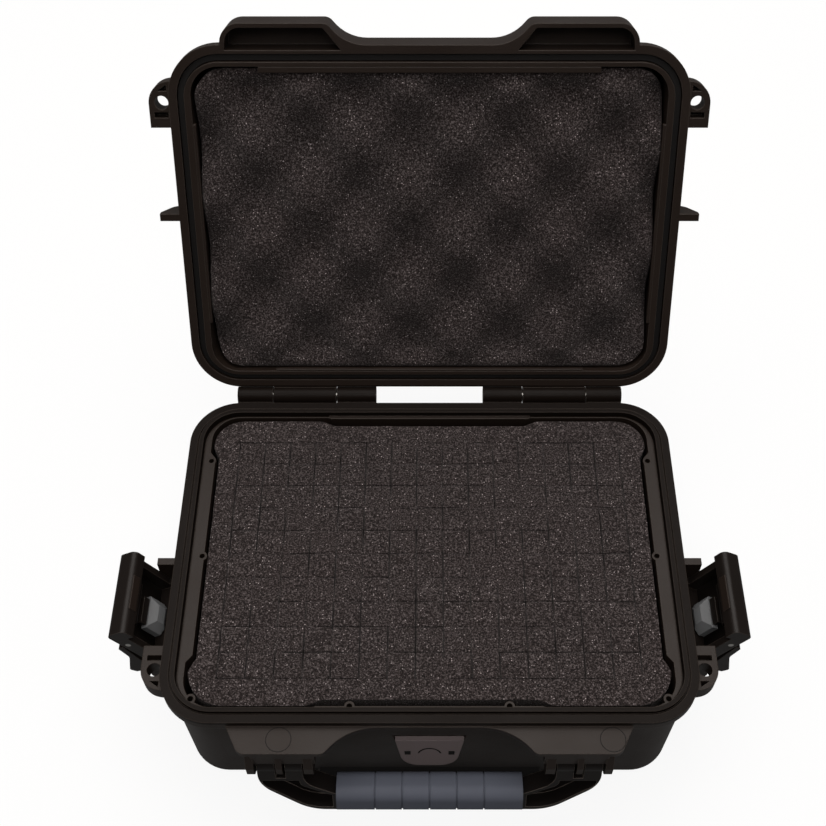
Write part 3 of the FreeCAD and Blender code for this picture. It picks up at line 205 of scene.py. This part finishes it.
def moulded(name, base, edge, roughness, grain_mm, relief, edge_mm, sealing=False):
    """A moulded resin: spark-eroded grain from the tool, cloudy gloss, and a painted highlight that makes the
    edges paler.
    """
    cloud_mm, cloud_lift, gloss_swing = 45.0, 1.22, 0.06
    shine, rim_shine, rim_shade_share = 0.2, 0.07, 0.45
    material, tree = new_material(name)
    place = add(tree, "ShaderNodeTexCoord").outputs["Object"]
    grain = add(tree, "ShaderNodeTexNoise",
                {"Vector": place, "Scale": scale(grain_mm), "Detail": 3.0, "Roughness": 0.6})
    cloud = add(tree, "ShaderNodeTexNoise",
                {"Vector": place, "Scale": scale(cloud_mm), "Detail": 4.0, "Roughness": 0.55})
    rounded = add(tree, "ShaderNodeBevel", {"Radius": edge_mm * MM}, samples=6)
    flat = add(tree, "ShaderNodeNewGeometry")
    turn = add(tree, "ShaderNodeVectorMath", {0: rounded.outputs["Normal"], 1: flat.outputs["Normal"]},
               operation="DOT_PRODUCT")
    # Painted highlight: the edge colour is mixed in where the rounded normal turns away from the flat one.
    edge_highlight = add(tree, "ShaderNodeValToRGB", {"Fac": turn.outputs["Value"]})
    spread(edge_highlight.color_ramp, [(0.80, grey(1.0)), (0.985, grey(0.0))])
    tone = add(tree, "ShaderNodeMix", {"Factor": cloud.outputs["Fac"], 6: opaque(base),
                                       7: opaque(times(base, cloud_lift))}, data_type="RGBA")
    # On the sealing rim the resin colour is darkened as painted shade, and its specular level is lowered.
    if sealing:
        rim = rim_shade_mask(tree, place)
        tone = add(tree, "ShaderNodeMix", {"Factor": rim, 6: tone.outputs[2],
                                           7: opaque(times(base, rim_shade_share))}, data_type="RGBA")
        shine = add(tree, "ShaderNodeMapRange",
                    {"Value": rim, "To Min": shine, "To Max": rim_shine}).outputs["Result"]
    skin = add(tree, "ShaderNodeMix", {"Factor": edge_highlight.outputs["Color"], 6: tone.outputs[2], 7: opaque(edge)},
               data_type="RGBA")
    gloss = add(tree, "ShaderNodeMapRange",
                {"Value": cloud.outputs["Fac"], "From Min": 0.3, "From Max": 0.7,
                 "To Min": roughness - gloss_swing, "To Max": roughness + gloss_swing})
    bump = add(tree, "ShaderNodeBump", {"Height": grain.outputs["Fac"], "Strength": relief,
                                        "Distance": 0.0002, "Normal": rounded.outputs["Normal"]})
    shader = add(tree, "ShaderNodeBsdfPrincipled",
                 {"Base Color": skin.outputs[2], "Roughness": gloss.outputs["Result"], "IOR": 1.49,
                  "Specular IOR Level": shine, "Normal": bump.outputs["Normal"]})
    add(tree, "ShaderNodeOutputMaterial", {"Surface": shader.outputs["BSDF"]})
    return material


def foam_material():
    # Open-cell polyurethane foam, cut with a hot wire: a dull, porous skin of dark cells with bright specks
    # where cut cell walls face the light. Cells are drawn coarser than real ones, so that they show.
    c = colours()
    cell_mm, speck_mm, patch_mm = 0.8, 1.0, 60.0
    speck_from, speck_reach = 0.82, 0.26
    material, tree = new_material("polyurethane_foam_cut")
    place = add(tree, "ShaderNodeTexCoord").outputs["Object"]
    cells = add(tree, "ShaderNodeTexNoise",
                {"Vector": place, "Scale": scale(cell_mm), "Detail": 4.0, "Roughness": 0.8})
    specks = add(tree, "ShaderNodeTexVoronoi", {"Vector": place, "Scale": scale(speck_mm), "Randomness": 1.0},
                 feature="F1")
    patch = add(tree, "ShaderNodeTexNoise", {"Vector": place, "Scale": scale(patch_mm), "Detail": 2.0})
    body = add(tree, "ShaderNodeValToRGB", {"Fac": cells.outputs["Fac"]})
    wall = [0.70 * mid + 0.30 * light for mid, light in zip(c.foam_mid, c.foam_light)]
    spread(body.color_ramp, [(0.40, opaque(c.foam_dark)), (0.51, opaque(c.foam_mid)), (0.66, opaque(wall))])
    chosen = add(tree, "ShaderNodeSeparateColor", {"Color": specks.outputs["Color"]})
    rare = add(tree, "ShaderNodeMath", {0: chosen.outputs["Red"], 1: speck_from}, operation="GREATER_THAN")
    near = add(tree, "ShaderNodeMath", {0: specks.outputs["Distance"], 1: speck_reach},
               operation="LESS_THAN")
    speck = add(tree, "ShaderNodeMath", {0: rare.outputs["Value"], 1: near.outputs["Value"]},
                operation="MULTIPLY")
    weight = add(tree, "ShaderNodeMath", {0: speck.outputs["Value"], 1: chosen.outputs["Green"]},
                 operation="MULTIPLY")
    dotted = add(tree, "ShaderNodeMix", {"Factor": weight.outputs["Value"], 6: body.outputs["Color"],
                                         7: opaque(c.foam_light)}, data_type="RGBA")
    warm = add(tree, "ShaderNodeMix", {"Factor": patch.outputs["Fac"], 6: dotted.outputs[2],
                                       7: (1.0, 0.95, 0.94, 1.0)}, data_type="RGBA", blend_type="MULTIPLY")
    bump = add(tree, "ShaderNodeBump", {"Height": cells.outputs["Fac"], "Strength": 0.9, "Distance": 0.0007})
    shader = add(tree, "ShaderNodeBsdfPrincipled",
                 {"Base Color": warm.outputs[2], "Roughness": 0.96, "IOR": 1.3, "Sheen Weight": 0.06,
                  "Normal": bump.outputs["Normal"]})
    add(tree, "ShaderNodeOutputMaterial", {"Surface": shader.outputs["BSDF"]})
    return material


def steel_material():
    # Drawn stainless rod: bright metal whose gloss is broken by fine marks of the die.
    mark_mm = 0.4
    material, tree = new_material("stainless_rod_drawn")
    place = add(tree, "ShaderNodeTexCoord").outputs["Object"]
    drawn = add(tree, "ShaderNodeTexNoise", {"Vector": place, "Scale": scale(mark_mm), "Detail": 2.0})
    gloss = add(tree, "ShaderNodeMapRange", {"Value": drawn.outputs["Fac"], "To Min": 0.22, "To Max": 0.4})
    shader = add(tree, "ShaderNodeBsdfPrincipled",
                 {"Base Color": opaque(colours().steel), "Metallic": 1.0,
                  "Roughness": gloss.outputs["Result"]})
    add(tree, "ShaderNodeOutputMaterial", {"Surface": shader.outputs["BSDF"]})
    return material


def membrane_material():
    # Stretched fluoropolymer film: off-white and chalky, with a faint felted grain.
    felt_mm = 0.5
    material, tree = new_material("fluoropolymer_film_stretched")
    place = add(tree, "ShaderNodeTexCoord").outputs["Object"]
    felt = add(tree, "ShaderNodeTexNoise", {"Vector": place, "Scale": scale(felt_mm), "Detail": 3.0})
    tone = add(tree, "ShaderNodeMix", {"Factor": felt.outputs["Fac"], 6: opaque(colours().film),
                                       7: opaque(colours().film_light)}, data_type="RGBA")
    shader = add(tree, "ShaderNodeBsdfPrincipled", {"Base Color": tone.outputs[2], "Roughness": 0.8})
    add(tree, "ShaderNodeOutputMaterial", {"Surface": shader.outputs["BSDF"]})
    return material


def make_finishes():
    """One material for each slot of the record."""
    c = colours()
    # Every finish has a paler edge colour, which is a painted highlight along its edges.
    return {
        # Glass-filled polypropylene off a spark-eroded tool: near black, satin, with a painted highlight in a
        # warmer grey along its edges. The sealing rim is painted blacker, as painted shade, so that its edges draw
        # thin lines.
        "case_resin": moulded("polypropylene_case_moulded", c.resin, c.resin_edge_highlight, roughness=0.44,
                              grain_mm=0.9, relief=0.35, edge_mm=0.55, sealing=True),
        # The same resin off a finer tool: slightly glossier, so that the rolled hooks show a soft streak.
        "latch_resin": moulded("polypropylene_latch_moulded", c.latch, c.resin_edge_highlight, roughness=0.40,
                               grain_mm=0.7, relief=0.25, edge_mm=0.5),
        # Nylon of the bow: darker, with a bright painted highlight along its thin edges.
        "handle_resin": moulded("nylon_handle_moulded", c.handle, c.handle_edge_highlight, roughness=0.42,
                                grain_mm=0.7, relief=0.25, edge_mm=0.6),
        # Thermoplastic rubber moulded over the bow: slate grey, dull, soft edges.
        "grip_grey": moulded("elastomer_grip_overmoulded", c.grip, times(c.grip, 1.2), roughness=0.62,
                             grain_mm=0.5, relief=0.2, edge_mm=0.9),
        # Acetal of the thumb sliders: grey, with clean facets.
        "slider_grey": moulded("acetal_slider_moulded", c.slider, times(c.slider, 1.25), roughness=0.45,
                               grain_mm=0.6, relief=0.15, edge_mm=0.5),
        # ABS plate: dark grey, flat and satin.
        "valve_grey": moulded("abs_valve_plate_moulded", c.valve, times(c.valve, 1.3), roughness=0.48,
                              grain_mm=0.6, relief=0.2, edge_mm=0.3),
        # Silicone cord: dull black.
        "gasket": moulded("silicone_gasket_moulded", c.gasket, c.gasket_edge_highlight, roughness=0.6,
                          grain_mm=0.5, relief=0.15, edge_mm=0.3),
        "membrane": membrane_material(),
        "pin_steel": steel_material(),
        "foam": foam_material(),
    }


finishes = {}


def finish(name):
    if not finishes:
        finishes.update(make_finishes())
    return finishes[name]


def paint(item, slot):
    item.data.materials.clear()
    item.data.materials.append(finish(slot))


def dress(*slots):
    """Gives the shown nodes of these slots their material."""
    for entry in frame["record"]["subparts"]:
        if entry["material_slot"] in slots:
            paint(NODES[entry["node"]], entry["material_slot"])


# Foam
def rounded_rectangle(half_x, half_y, radius, steps=10):
    points = []
    for k, (sx, sy) in enumerate(((1, -1), (1, 1), (-1, 1), (-1, -1))):
        for i in range(steps + 1):
            angle = math.radians(-90.0 + 90.0 * k + 90.0 * i / steps)
            points.append((sx * (half_x - radius) + radius * math.cos(angle),
                           sy * (half_y - radius) + radius * math.sin(angle)))
    return np.array(points)


def notched_outline(half_x, half_y):
    """The cubed foam's outline: rounded corners, stepping in along the rails of the base."""
    rail_x, rail_y = 0.1051, 0.07355
    front_rail, side_rail = 0.0522, 0.058
    front_ramp, side_ramp = 0.002, 0.003
    front_corner, back_corner = 0.017, 0.014
    quarter = [math.radians(degrees) for degrees in range(0, 91, 9)]
    right = [(front_rail, -rail_y), (front_rail + front_ramp, -half_y)]
    right += [(half_x - front_corner + front_corner * math.sin(a),
               -half_y + front_corner - front_corner * math.cos(a)) for a in quarter]
    right += [(half_x, -side_rail), (rail_x, -side_rail + side_ramp)]
    right += [(rail_x, side_rail - side_ramp), (half_x, side_rail)]
    right += [(half_x - back_corner + back_corner * math.cos(a),
               half_y - back_corner + back_corner * math.sin(a)) for a in quarter]
    right += [(front_rail + front_ramp, half_y), (front_rail, rail_y)]
    return np.array(right + [(-x, y) for x, y in reversed(right)])


def is_inside(points, outline):
    """True for each point inside the outline, by counting crossings."""
    inside = np.zeros(len(points), bool)
    for a, b in zip(outline, np.roll(outline, -1, axis=0)):
        crosses = (a[1] > points[:, 1]) != (b[1] > points[:, 1])
        reach = a[0] + (points[:, 1] - a[1]) * (b[0] - a[0]) / ((b[1] - a[1]) or 1e-12)
        inside ^= crosses & (points[:, 0] < reach)
    return inside


def nearest_on(points, outline):
    """The nearest place on the outline for each point."""
    best = np.full(len(points), np.inf)
    found = points.copy()
    for a, b in zip(outline, np.roll(outline, -1, axis=0)):
        along = b - a
        share = np.clip((points - a) @ along / max(along @ along, 1e-18), 0.0, 1.0)
        place = a + share[:, None] * along
        gap = np.linalg.norm(points - place, axis=1)
        closer = gap < best
        best[closer] = gap[closer]
        found[closer] = place[closer]
    return found


def foam_piece(name, xs, ys, outline, surface, back):
    """A closed block of foam: a worked face on a grid, trimmed to an outline, and straight sides."""
    merge, sharp = 2e-5, math.radians(50.0)
    spots = np.array([(x, y) for y in ys for x in xs])
    outside = ~is_inside(spots, outline)
    spots[outside] = nearest_on(spots[outside], outline)
    work = bmesh.new()
    verts = [work.verts.new((x, y, surface(x, y))) for x, y in spots]
    wide = len(xs)
    for row in range(len(ys) - 1):
        for column in range(wide - 1):
            first = row * wide + column
            corners = (first, first + 1, first + wide + 1, first + wide)
            if not all(outside[i] for i in corners):
                work.faces.new([verts[i] for i in corners])
    bmesh.ops.delete(work, geom=[v for v in work.verts if not v.link_faces], context="VERTS")
    bmesh.ops.remove_doubles(work, verts=work.verts, dist=merge)
    bmesh.ops.dissolve_degenerate(work, edges=work.edges, dist=merge / 2)
    border = [edge for edge in work.edges if edge.is_boundary]
    sides = bmesh.ops.extrude_edge_only(work, edges=border)["geom"]
    for vert in (item for item in sides if isinstance(item, bmesh.types.BMVert)):
        vert.co.z = back
    bmesh.ops.holes_fill(work, edges=[edge for edge in work.edges if edge.is_boundary], sides=0)
    bmesh.ops.recalc_face_normals(work, faces=work.faces)
    for face in work.faces:
        face.smooth = True
    for edge in work.edges:
        if len(edge.link_faces) == 2 and edge.calc_face_angle() > sharp:
            edge.smooth = False
    mesh = bpy.data.meshes.new(name)
    work.to_mesh(mesh)
    work.free()
    item = bpy.data.objects.new(name, mesh)
    bpy.context.scene.collection.objects.link(item)
    return item


def set_foam(item, body, node):
    """Paints a foam block, hangs it on its body, and hides the solid node that it stands for."""
    paint(item, "foam")
    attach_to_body(item, body)
    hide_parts(node)


class CASE_OT_base_foam(bpy.types.Operator):
    """Cubed foam of the base, with cuts that gape here and there, on its plain layers"""
    bl_idname = "case.base_foam"
    bl_label = "Base foam"

    def execute(self, context):
        self.cubed()
        for node in ("base_foam_lower", "base_foam_pad"):
            self.plain(node)
        return {"FINISHED"}

    def cubed(self):
        s = sizes()
        low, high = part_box("base_foam_upper")
        half_x, half_y, top = round(high.x, 6), round(high.y, 6), high.z
        columns = [(i - 7.5) * s.cube_pitch for i in range(16)]
        rows = [(i - 5.0) * s.cube_pitch for i in range(11)]
        end_x, end_y = columns[-1] + s.cut_half, rows[-1] + s.cut_half
        on_cut, far_off = 1e-5, 1.0
        column_gape, least_gape, mean_gape = 1.8, 0.06, 0.34
        swell, cube_lift, edge_drop, edge_reach = 0.0003, 0.00022, 0.0004, 0.0009

        def lines(cuts, limit):
            offsets = (0.0, s.cut_half, 0.0011, 0.0034)
            margin = np.linspace(cuts[-1] + 0.005, limit, 7)
            places = {round(cut + sign * offset, 6) for cut in cuts for offset in offsets for sign in (-1, 1)}
            places |= {round(sign * place, 6) for place in margin for sign in (-1, 1)}
            return sorted(places)

        def gap(value, cuts):
            return min(abs(value - cut) for cut in cuts)

        def surface(x, y):
            in_grid = abs(x) <= end_x and abs(y) <= end_y
            to_column = gap(x, columns) if in_grid else far_off
            to_row = gap(y, rows) if in_grid else far_off
            near = min(to_column, to_row)
            if near < on_cut:
                crossing = max(to_column, to_row) < on_cut
                slack = 1.0 if crossing else mean_gape + noise.noise(Vector((x * 150.0, y * 150.0, 7.7)))
                gape = s.cut_depth if to_row < on_cut else column_gape * s.cut_depth
                return top - gape * max(least_gape, min(1.0, slack))
            cube = Vector((round((x + 0.1) / s.cube_pitch), round((y + 0.1) / s.cube_pitch - 0.5), 0.0))
            lift = cube_lift * noise.cell(cube * 1.37 + Vector((0.5, 0.5, 0.5))) if in_grid else 0.0
            wave = swell * noise.noise(Vector((x * 38.0, y * 52.0, 3.1)))
            return top + wave + lift - edge_drop * math.exp(-near / edge_reach)

        item = foam_piece("base_foam_cubed", lines(columns, half_x), lines(rows, half_y),
                          notched_outline(half_x, half_y), surface, low.z)
        set_foam(item, "base", "base_foam_upper")

    def plain(self, node):
        corner_radius = 0.014
        low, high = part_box(node)
        outline = rounded_rectangle(high.x, high.y, corner_radius)
        grid_x = np.linspace(low.x, high.x, 41)
        grid_y = np.linspace(low.y, high.y, 31)
        layer = foam_piece(node + "_cut", grid_x, grid_y, outline, lambda x, y: high.z, low.z)
        set_foam(layer, "base", node)


class CASE_OT_lid_foam(bpy.types.Operator):
    """Egg-crate foam of the lid: rounded peaks and hollows that swap from row to row"""
    bl_idname = "case.lid_foam"
    bl_label = "Lid foam"

    def execute(self, context):
        s = sizes()
        half_x, half_y, corner_radius = 0.1080, 0.07505, 0.0145
        peaks, back = 0.0735, 0.1057
        first_x, first_y = 0.0815, 0.06505
        margin, margin_drop = 0.0105, 0.0025
        torn_depth, edge_drop = 0.0004, 0.0014
        middle = peaks + s.egg_depth / 2

        def surface(x, y):
            wave = (math.cos(math.pi * (x + first_x) / s.egg_pitch_x)
                    * math.cos(math.pi * (y + first_y) / s.egg_pitch_y))
            share = min(1.0, (half_y - abs(y)) / margin)
            share = share * share * (3.0 - 2.0 * share)
            torn = torn_depth * noise.noise(Vector((x * 140.0, y * 140.0, 1.3)))
            round_off = edge_drop * math.exp(-min(half_x - abs(x), half_y - abs(y)) / edge_drop)
            waved = middle + s.egg_depth / 2 * wave
            return (peaks + margin_drop) * (1.0 - share) + waved * share + torn + round_off

        grid_x = np.linspace(-half_x, half_x, 191)
        grid_y = np.linspace(-half_y, half_y, 135)
        outline = rounded_rectangle(half_x, half_y, corner_radius)
        item = foam_piece("lid_foam_egg_crate", grid_x, grid_y, outline, surface, back)
        item.data.transform(LID_OPEN)
        set_foam(item, "lid", "lid_foam")
        return {"FINISHED"}


# Small details
def bar(name, low, high, rounding):
    """A small block between two corners, its edges rounded."""
    bpy.ops.object.select_all(action="DESELECT")
    bpy.ops.mesh.primitive_cube_add(size=1.0, location=(Vector(low) + Vector(high)) / 2)
    item = bpy.context.object
    item.name = name
    item.scale = Vector(high) - Vector(low)
    bpy.ops.object.transform_apply(location=True, rotation=True, scale=True)
    bpy.ops.object.mode_set(mode="EDIT")
    bpy.ops.mesh.select_all(action="SELECT")
    bpy.ops.mesh.bevel(offset=rounding, segments=2, affect="EDGES")
    bpy.ops.object.mode_set(mode="OBJECT")
    return item


def ring(name, centre, radius, wire, tilt=0.0):
    """A thin raised ring, pressed flatter than round wire, lying flat or tilted about X."""
    flattening = 0.6
    bpy.ops.object.select_all(action="DESELECT")
    bpy.ops.mesh.primitive_torus_add(location=centre, rotation=(tilt, 0.0, 0.0), major_radius=radius,
                                     minor_radius=wire, major_segments=72, minor_segments=8)
    item = bpy.context.object
    item.name = name
    bpy.ops.object.mode_set(mode="EDIT")
    bpy.ops.mesh.select_all(action="SELECT")
    bpy.ops.transform.resize(value=(1.0, 1.0, flattening), orient_type="LOCAL")
    bpy.ops.object.mode_set(mode="OBJECT")
    bpy.ops.object.transform_apply(location=True, rotation=True, scale=True)
    bpy.ops.object.shade_smooth()
    return item


def copied(item, name, shift):
    """A copy of a piece, with its own mesh, moved sideways."""
    twin = item.copy()
    twin.name = name
    twin.data = item.data.copy()
    twin.data.transform(Matrix.Translation((shift, 0.0, 0.0)))
    bpy.context.scene.collection.objects.link(twin)
    return twin


def choose(item, wanted):
    """Selects the corners of a piece in edit mode by their place."""
    bpy.ops.mesh.select_all(action="DESELECT")
    work = bmesh.from_edit_mesh(item.data)
    for vert in work.verts:
        vert.select = wanted(vert.co)
    work.select_flush_mode()
    bmesh.update_edit_mesh(item.data)


def attach(item, body, slot):
    paint(item, slot)
    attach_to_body(item, body)


class CASE_OT_lid_rails(bpy.types.Operator):
    """Thin rails inside the lid's ridge that hold the foam"""
    bl_idname = "case.lid_rails"
    bl_label = "Lid rails"

    def execute(self, context):
        low, high, rounding = 0.0738, 0.0766, 0.0004
        front, back, outer, half_length = 0.0734, 0.0752, 0.0764, 0.078
        side_inner, side_outer, side_half_length = 0.1082, 0.1096, 0.050
        left = bar("lid_rail_left", (-side_outer, -side_half_length, low),
                   (-side_inner, side_half_length, high), rounding)
        rails = [
            bar("lid_rail_front", (-half_length, -outer, low), (half_length, -front, high), rounding),
            bar("lid_rail_back", (-half_length, back, low), (half_length, outer, high), rounding),
            left,
            copied(left, "lid_rail_right", side_inner + side_outer),
        ]
        for rail in rails:
            rail.data.transform(LID_OPEN)
            attach(rail, "lid", "case_resin")
        return {"FINISHED"}


class CASE_OT_marks(bpy.types.Operator):
    """Dark rings as painted shade of the round ejector marks on the handle brackets, and dark pieces as painted
    shade of the valve's arc and vents
    """
    bl_idname = "case.marks"
    bl_label = "Moulding marks"

    def execute(self, context):
        self.ejector_marks()
        self.valve_marks()
        return {"FINISHED"}

    def ejector_marks(self):
        left, right, forward, shelf = -0.0655, 0.0795, -0.0918, 0.0715
        wire = 0.00016
        # Rings in the gasket's dull black: painted shade of each ejector mark's groove.
        mark = ring("ejector_mark_shade_left", (left, forward, shelf), sizes().mark, wire)
        for item in (mark, copied(mark, "ejector_mark_shade_right", right - left)):
            attach(item, "base", "gasket")

    def valve_marks(self):
        lean = math.atan2(0.004, 0.0205)
        centre, wire, cut = Vector((0.0, -0.08444, 0.0335)), 0.0004, Vector((0.0, 0.0, 0.0015))
        # Dark arc in the gasket's black: painted shade of the arc's slot in the valve cover.
        arc = ring("valve_arc_shade", centre, sizes().arc, wire, math.radians(90.0) - lean)
        bpy.ops.object.mode_set(mode="EDIT")
        bpy.ops.mesh.select_all(action="SELECT")
        bpy.ops.mesh.bisect(plane_co=centre + cut, plane_no=(0.0, 0.0, -1.0), clear_outer=True, use_fill=True)
        bpy.ops.object.mode_set(mode="OBJECT")
        attach(arc, "base", "gasket")
        spread_out, rounding = 0.0101, 0.00012
        spot, half = Vector((-spread_out, -0.0841, 0.0350)), Vector((0.0014, 0.0002, 0.0014))
        # Dark plates in the gasket's black: painted shade inside the two vents.
        plate = bar("valve_vent_shade_left", spot - half, spot + half, rounding)
        tilt = Matrix.Rotation(-lean, 4, "X")
        plate.data.transform(Matrix.Translation(spot) @ tilt @ Matrix.Translation(-spot))
        for item in (plate, copied(plate, "valve_vent_shade_right", 2 * spread_out)):
            attach(item, "base", "gasket")


class CASE_OT_foot_lip(bpy.types.Operator):
    """Lip along the base's lower front edge, sloping out from the wall between the handle's arms, drawn in the
    darker handle resin as painted shade, with a painted highlight along its edges
    """
    bl_idname = "case.foot_lip"
    bl_label = "Foot lip"

    def execute(self, context):
        half_length, front, back = 0.061, -0.0844, -0.0780
        foot, top, rounding = 0.0006, 0.0090, 0.0005
        taper, lean_back = 0.87, 0.0033
        near_front, upper = -0.0830, 0.005
        lip = bar("foot_lip", (-half_length, front, foot), (half_length, back, top), rounding)
        bpy.ops.object.mode_set(mode="EDIT")
        choose(lip, lambda place: place.y < near_front)
        bpy.ops.transform.resize(value=(taper, 1.0, 1.0))
        choose(lip, lambda place: place.y < near_front and place.z > upper)
        bpy.ops.transform.translate(value=(0.0, lean_back, 0.0))
        bpy.ops.object.mode_set(mode="OBJECT")
        # The handle's darker resin is painted shade on the lip, which fills the shaded gap above the grip; its
        # paler edge colour is a painted highlight.
        attach(lip, "base", "handle_resin")
        return {"FINISHED"}


class CASE_OT_latch_pads(bpy.types.Operator):
    """Paler pads on the inner faces of the hooks"""
    bl_idname = "case.latch_pads"
    bl_label = "Latch pads"

    def execute(self, context):
        inner, outer, rounding = 0.1169, 0.1176, 0.0003
        front, back, low, high = -0.0357, -0.0187, 0.0822, 0.0868
        left = bar("latch_pad_left", (-outer, front, low), (-inner, back, high), rounding)
        pads = {"left": left, "right": copied(left, "latch_pad_right", inner + outer)}
        for side, pad in pads.items():
            pad.data.transform(CLAW_OPEN[side])
            attach(pad, "claw_" + side, "case_resin")
        return {"FINISHED"}


class CASE_OT_shells(bpy.types.Operator):
    """Resin of base and lid, and the gasket"""
    bl_idname = "case.shells"
    bl_label = "Shells"

    def execute(self, context):
        dress("case_resin", "gasket")
        return {"FINISHED"}


class CASE_OT_latches(bpy.types.Operator):
    """Resin of claws and levers, and the grey sliders"""
    bl_idname = "case.latches"
    bl_label = "Latches"

    def execute(self, context):
        dress("latch_resin", "slider_grey")
        return {"FINISHED"}


class CASE_OT_handle(bpy.types.Operator):
    """Handle's frame and grip, and the steel pins of all joints"""
    bl_idname = "case.handle"
    bl_label = "Handle and pins"

    def execute(self, context):
        dress("handle_resin", "grip_grey", "pin_steel")
        return {"FINISHED"}


class CASE_OT_valve(bpy.types.Operator):
    """Valve cover, its ring and the film"""
    bl_idname = "case.valve"
    bl_label = "Valve"

    def execute(self, context):
        dress("valve_grey", "membrane")
        return {"FINISHED"}


class CASE_OT_stage(bpy.types.Operator):
    """Floor, lamps and camera"""
    bl_idname = "case.stage"
    bl_label = "Stage"

    def execute(self, context):
        context.scene.view_settings.view_transform = "Standard"
        self.floor()
        self.lamp("overhead", (0.0, 0.35, 1.5), (1.5, 1.1), 19.0)
        self.lamp("front_top", (0.0, -0.85, 1.7), (1.0, 0.7), 10.5)
        self.lamp("rear", (0.0, 1.3, 1.2), (1.6, 0.7), 7.0)
        for side in SIDES.values():
            self.lamp("side_%d" % side, (1.4 * side, -0.75, 0.6), (0.5, 0.9), 2.4)
        self.world(context.scene)
        self.camera(context.scene)
        return {"FINISHED"}

    def floor(self):
        bpy.ops.object.select_all(action="DESELECT")
        bpy.ops.mesh.primitive_plane_add(size=6.0, location=(0.0, 0.5, 0.0))
        floor = bpy.context.object
        floor.name = "studio_floor"
        floor.data.materials.append(self.floor_material())

    def camera(self, scene):
        camera = bpy.data.objects.new("photo_camera", bpy.data.cameras.new("photo_camera"))
        scene.collection.objects.link(camera)
        camera.location = (0.0, -0.293, 0.597)
        camera.rotation_euler = (math.radians(35.5), 0.0, 0.0)
        camera.data.sensor_width = 36.0
        camera.data.lens = 54.83
        camera.data.shift_x = -0.020
        scene.camera = camera

    def lamp(self, name, location, size, power):
        case_middle = Vector((0.0, 0.05, 0.08))
        data = bpy.data.lights.new(name, "AREA")
        data.shape = "RECTANGLE"
        data.size, data.size_y = size
        data.energy = power
        data.color = (1.0, 0.95, 0.91)
        lamp = bpy.data.objects.new(name, data)
        lamp.location = location
        aim = case_middle - Vector(location)
        lamp.rotation_euler = aim.to_track_quat("-Z", "Y").to_euler()
        bpy.context.scene.collection.objects.link(lamp)

    def floor_material(self):
        # Seamless paper: white to the eye, with a soft shadow, and dull as the case is lit by it.
        fibre_mm, white_share, mirrored_share = 3.0, 0.9, 0.12
        material, tree = new_material("studio_paper_seamless")
        place = add(tree, "ShaderNodeTexCoord").outputs["Object"]
        fibre = add(tree, "ShaderNodeTexNoise", {"Vector": place, "Scale": scale(fibre_mm)})
        bump = add(tree, "ShaderNodeBump",
                   {"Height": fibre.outputs["Fac"], "Strength": 0.05, "Distance": 0.0003})
        white = add(tree, "ShaderNodeEmission", {"Color": grey(1.0), "Strength": 1.0})
        path = add(tree, "ShaderNodeLightPath")
        seen = path.outputs["Is Camera Ray"]
        tone = add(tree, "ShaderNodeMix", {"Factor": seen, 6: opaque(colours().bounce),
                                           7: opaque(colours().floor)}, data_type="RGBA")
        paper = add(tree, "ShaderNodeBsdfDiffuse",
                    {"Color": tone.outputs[2], "Normal": bump.outputs["Normal"]})
        sharp = add(tree, "ShaderNodeMath",
                    {0: path.outputs["Is Glossy Ray"], 1: path.outputs["Is Transmission Ray"]},
                    operation="MAXIMUM")
        dim = add(tree, "ShaderNodeMath", {0: sharp.outputs["Value"], 1: mirrored_share},
                  operation="MULTIPLY")
        share = add(tree, "ShaderNodeMath", {0: seen, 1: white_share, 2: dim.outputs["Value"]},
                    operation="MULTIPLY_ADD")
        mixed = add(tree, "ShaderNodeMixShader", {0: share.outputs["Value"], 1: paper.outputs["BSDF"],
                                                  2: white.outputs["Emission"]})
        add(tree, "ShaderNodeOutputMaterial", {"Surface": mixed.outputs["Shader"]})
        return material

    def world(self, scene):
        room_light = 0.04
        world = bpy.data.worlds.new("studio")
        world.use_nodes = True
        tree = world.node_tree
        tree.nodes.clear()
        path = add(tree, "ShaderNodeLightPath")
        room = add(tree, "ShaderNodeBackground", {"Color": grey(1.0), "Strength": room_light})
        white = add(tree, "ShaderNodeBackground", {"Color": grey(1.0), "Strength": 1.0})
        mixed = add(tree, "ShaderNodeMixShader",
                    {0: path.outputs["Is Camera Ray"], 1: room.outputs["Background"],
                     2: white.outputs["Background"]})
        add(tree, "ShaderNodeOutputWorld", {"Surface": mixed.outputs["Shader"]})
        scene.world = world


OPERATORS = (CASE_OT_shells, CASE_OT_latches, CASE_OT_handle, CASE_OT_valve, CASE_OT_base_foam,
             CASE_OT_lid_foam, CASE_OT_lid_rails, CASE_OT_marks, CASE_OT_foot_lip, CASE_OT_latch_pads,
             CASE_OT_stage)


class CASE_PT_sidebar(bpy.types.Panel):
    """Lists the case's sizes, colours and pieces"""
    bl_idname = "CASE_PT_sidebar"
    bl_label = "Hard case"
    bl_space_type = "VIEW_3D"
    bl_region_type = "UI"
    bl_category = "Case"

    def draw(self, context):
        for group in (context.scene.case_sizes, context.scene.case_colours):
            for name in group.__annotations__:
                self.layout.prop(group, name)
        for operator in OPERATORS:
            self.layout.operator(operator.bl_idname)


CLASSES = (CaseColours, CaseSizes) + OPERATORS + (CASE_PT_sidebar,)


def register():
    for item in CLASSES:
        bpy.utils.register_class(item)
    bpy.types.Scene.case_colours = bpy.props.PointerProperty(type=CaseColours)
    bpy.types.Scene.case_sizes = bpy.props.PointerProperty(type=CaseSizes)


def unregister():
    del bpy.types.Scene.case_sizes
    del bpy.types.Scene.case_colours
    for item in reversed(CLASSES):
        bpy.utils.unregister_class(item)


def main():
    register()
    for operator in OPERATORS:
        group, name = operator.bl_idname.split(".")
        getattr(getattr(bpy.ops, group), name)()


if __name__ == "__main__":
    main()
